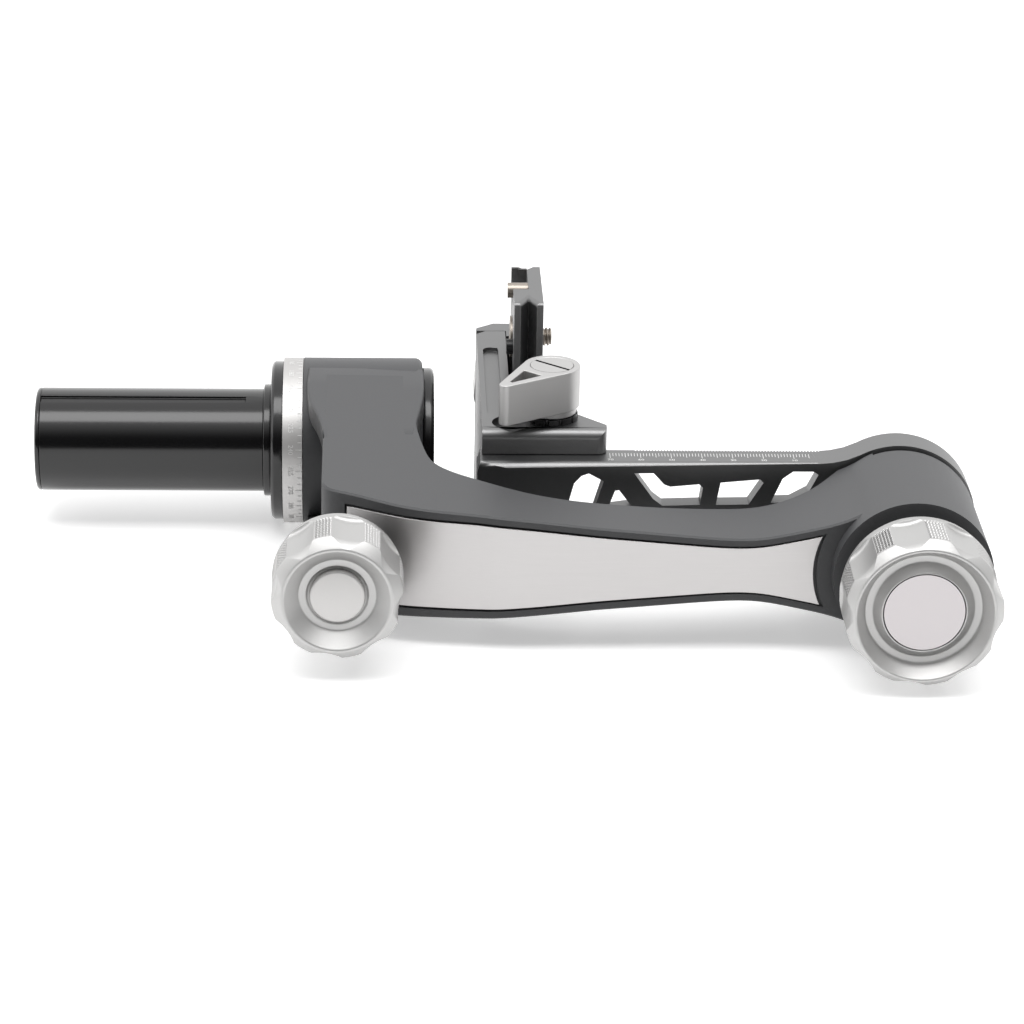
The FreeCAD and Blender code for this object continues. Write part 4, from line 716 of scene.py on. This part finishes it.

# The clamp levers: teardrops machined from bar and anodised satin silver. Each turns its screw through a notched
# black ring, and a slotted cap covers the screw's head. The finger pocket of the height lever and the slot of its cap
# are painted black as shade, since shade falls deep in them.
bead_silver = metal("satin_silver_lever", (0.52, 0.515, 0.51), 0.5, grain=3200.0, depth=0.006, tone=0.06)
# Painted shade: a matte black with little gloss, for the deep finger pocket and the cap's slot.
painted_shade_black = metal("painted_shade_matte_black", (0.008, 0.008, 0.0085), 0.6, metallic=0.0, grain=900.0, depth=0.004,
                     ior=1.15)
black_steel = metal("black_oxide_steel", (0.016, 0.016, 0.017), 0.3, metallic=0.3, grain=2500.0, depth=0.006)
lever_spots = [(vertex.co - axis_cross) / MM for vertex in frame["nodes"]["height_lever"].data.vertices]
LEVER_TOP = max(spot.z for spot in lever_spots)
LEVER_EDGE, LEVER_SQUASH, CAP_EDGE, RING_LOW, RING_STRETCH, RING_EDGE = 0.45, 0.93, 0.12, 28.05, 2.2, 0.1
POCKET_FLOOR, POCKET_DEEPER, POCKET_GROWTH, FLOOR_SLACK = LEVER_TOP - 3, -7, 1.1, 0.05
POCKET_LIP, POCKET_END = LEVER_TOP - 0.5, LEVER_TOP - 11
CAP_X, CAP_Y, CAP_INNER_R, CAP_SLOT_TOP = -112.7, -50.3, 6.3, LEVER_TOP - 0.3


def on_floor(spot):
    """Whether a spot is on the floor of the lever's finger pocket, as the solid has it."""
    return abs(spot.z - POCKET_FLOOR) < FLOOR_SLACK


def blackened(piece, test):
    """Paints black, as shade, the faces whose middle passes a test, in millimetres from the crossing of the axes."""
    piece.data.materials.append(painted_shade_black)
    for face in piece.data.polygons:
        if test((face.center - axis_cross) / MM):
            face.material_index = 1


floor = [spot.to_2d() for spot in lever_spots if on_floor(spot)]
floor_middle = sum(floor, Vector((0, 0))) / len(floor)
pocket = sorted((floor_middle + (spot - floor_middle) * POCKET_GROWTH for spot in floor),
                key=lambda spot: math.atan2(*(spot - floor_middle).yx))


def in_pocket(spot):
    """Whether a spot lies within the finger pocket, whose outline is convex."""
    sides = [(b - a).cross(spot.to_2d() - a) for a, b in zip(pocket, pocket[1:] + pocket[:1])]
    return POCKET_END < spot.z < POCKET_LIP and min(sides) > 0


def in_cap_slot(spot):
    """Whether a spot lies in the slot of the height lever's cap."""
    return spot.z < CAP_SLOT_TOP and math.hypot(spot.x - CAP_X, spot.y - CAP_Y) < CAP_INNER_R


squash = about(at(0, 0, LEVER_TOP), Matrix.Diagonal((1, 1, LEVER_SQUASH, 1)))
lever = softened("height_lever", "height_lever", bead_silver, LEVER_EDGE, place=squash,
                 shift=(on_floor, (0, 0, POCKET_DEEPER)))
# The faces in the finger pocket are painted black as shade.
blackened(lever, in_pocket)
softened("qr_lever", "qr_lever", bead_silver, LEVER_EDGE)
# The faces in the cap's slot are painted black as shade.
blackened(softened("height_lever_cap", "height_lever", bead_silver, CAP_EDGE, place=squash), in_cap_slot)
softened("qr_lever_cap", "qr_lever", bead_silver, CAP_EDGE)
softened("height_lever_ring", "height_lever", black_steel, RING_EDGE,
         place=about(at(0, 0, RING_LOW), Matrix.Diagonal((1, 1, RING_STRETCH, 1))))
dress(black_steel, "qr_lever_ring")

# The lens plate: a satin black dovetail plate with a deep V along its edge. Its camera screw has a real quarter-inch
# thread, and a steel pin and a socket screw stop the lens foot.
V_OUTLINE, V_LOW, V_HIGH = [(-118.9, -4.6), (-121.7, -10.2), (-116.1, -10.2)], -80, 60
PLATE_CORNER_Z, PLATE_CORNER_Y, PLATE_ROUNDING = 53.2, -4, 1.7
WALL_OUTLINE, WALL_LOW, WALL_HIGH = oblong(-121.4, -118.5, 25.8, 27.0), 46.9, 53.2
softened("lens_plate", "plate", satin_black, 0.3, cutters=[solid_prism(V_OUTLINE, 2, V_LOW, V_HIGH)],
         wide=(lambda spot: spot.z > PLATE_CORNER_Z and spot.y < PLATE_CORNER_Y, PLATE_ROUNDING))
dress(black_steel, "plate_stop_screw")
mesh_piece("lens_plate_end_wall", solid_prism(WALL_OUTLINE, 2, WALL_LOW, WALL_HIGH), satin_black, "plate")
pin_steel = metal("warm_steel_pin", (0.34, 0.305, 0.27), 0.4, grain=2600.0, depth=0.003, tone=0.05)
dress(pin_steel, "plate_end_pin")

SCREW_PITCH, SCREW_CREST, SCREW_ROOT, SCREW_Y, SCREW_Z = 1.27, 3.17, 2.45, 9.0, 34.8
SCREW_START, SCREW_END, THREAD_STEPS, ROWS_PER_TURN, FLANK, TIP = -113.7, -110.4, 36, 8, 1.2, 0.1
SHANK_END, SHANK_R, SHANK_CUT = -113.9, 2.9, -3.4
bm = bmesh.new()
rows = []
thread_rows = round((SCREW_END - SCREW_START) / SCREW_PITCH * ROWS_PER_TURN)
for row in range(thread_rows + 1):
    right = SCREW_START + (SCREW_END - SCREW_START) * row / thread_rows
    line = []
    for step in range(THREAD_STEPS):
        lean = 2 * math.pi * step / THREAD_STEPS
        phase = (right / SCREW_PITCH - step / THREAD_STEPS) % 1
        radius = SCREW_ROOT + (SCREW_CREST - SCREW_ROOT) * min(2 * min(phase, 1 - phase) * FLANK, 1)
        radius = min(radius, SCREW_ROOT + (SCREW_END - right) * FLANK + TIP)
        line.append(bm.verts.new(at(right, SCREW_Y + radius * math.cos(lean), SCREW_Z + radius * math.sin(lean))))
    rows.append(line)
for low, high in zip(rows, rows[1:]):
    for step in range(THREAD_STEPS):
        beside = (step + 1) % THREAD_STEPS
        bm.faces.new((low[step], low[beside], high[beside], high[step])).smooth = True
bm.faces.new(rows[-1])
bm.faces.new(rows[0])
mesh_piece("camera_screw_thread", bm, pin_steel, "plate")


def threaded(spot):
    """Whether a spot is on the plain end of the solid's screw, which the thread stands for."""
    return spot.x > SHANK_END and math.hypot(spot.y - SCREW_Y, spot.z - SCREW_Z) > SHANK_R


softened("camera_screw", "plate", pin_steel, 0.12, shift=(threaded, (SHANK_CUT, 0, 0)))

# Inside the drums: ball bearings on steel shafts, alloy spacers, and the studs and brass pads of both locks. They are
# pressed or screwed in, and hidden until the head is taken apart.
polished_steel = metal("polished_bearing_steel", (0.60, 0.60, 0.61), 0.16, grain=2500.0, depth=0.002, tone=0.04)
dress(polished_steel, "pan_inner_races", "pan_outer_races", "tilt_inner_races", "tilt_outer_races",
      "pan_bearing_balls", "tilt_bearing_balls", "tilt_circlip", "pan_circlip")
zinc_steel = metal("zinc_plated_steel", (0.52, 0.52, 0.54), 0.3, grain=2500.0, depth=0.004, tone=0.08)
dress(zinc_steel, "pan_spindle", "pan_spindle_nut", "tilt_shaft", "tilt_shaft_nut", "pan_lock_stud",
      "tilt_lock_stud", "height_screw", "qr_screw", "qr_guide_pins")
dress(black_steel, "hub_screws", "rail_stop_screws")
spacer_alloy = metal("turned_spacer_alloy", (0.48, 0.48, 0.49), 0.36, grain=2500.0, depth=0.004)
dress(spacer_alloy, "pan_brake_sleeve", "tilt_inner_spacer", "tilt_outer_spacer")
pad_brass = metal("brake_pad_brass", (0.52, 0.36, 0.14), 0.34, grain=2500.0, depth=0.004)
dress(pad_brass, "pan_brake_pad", "tilt_brake_pad")
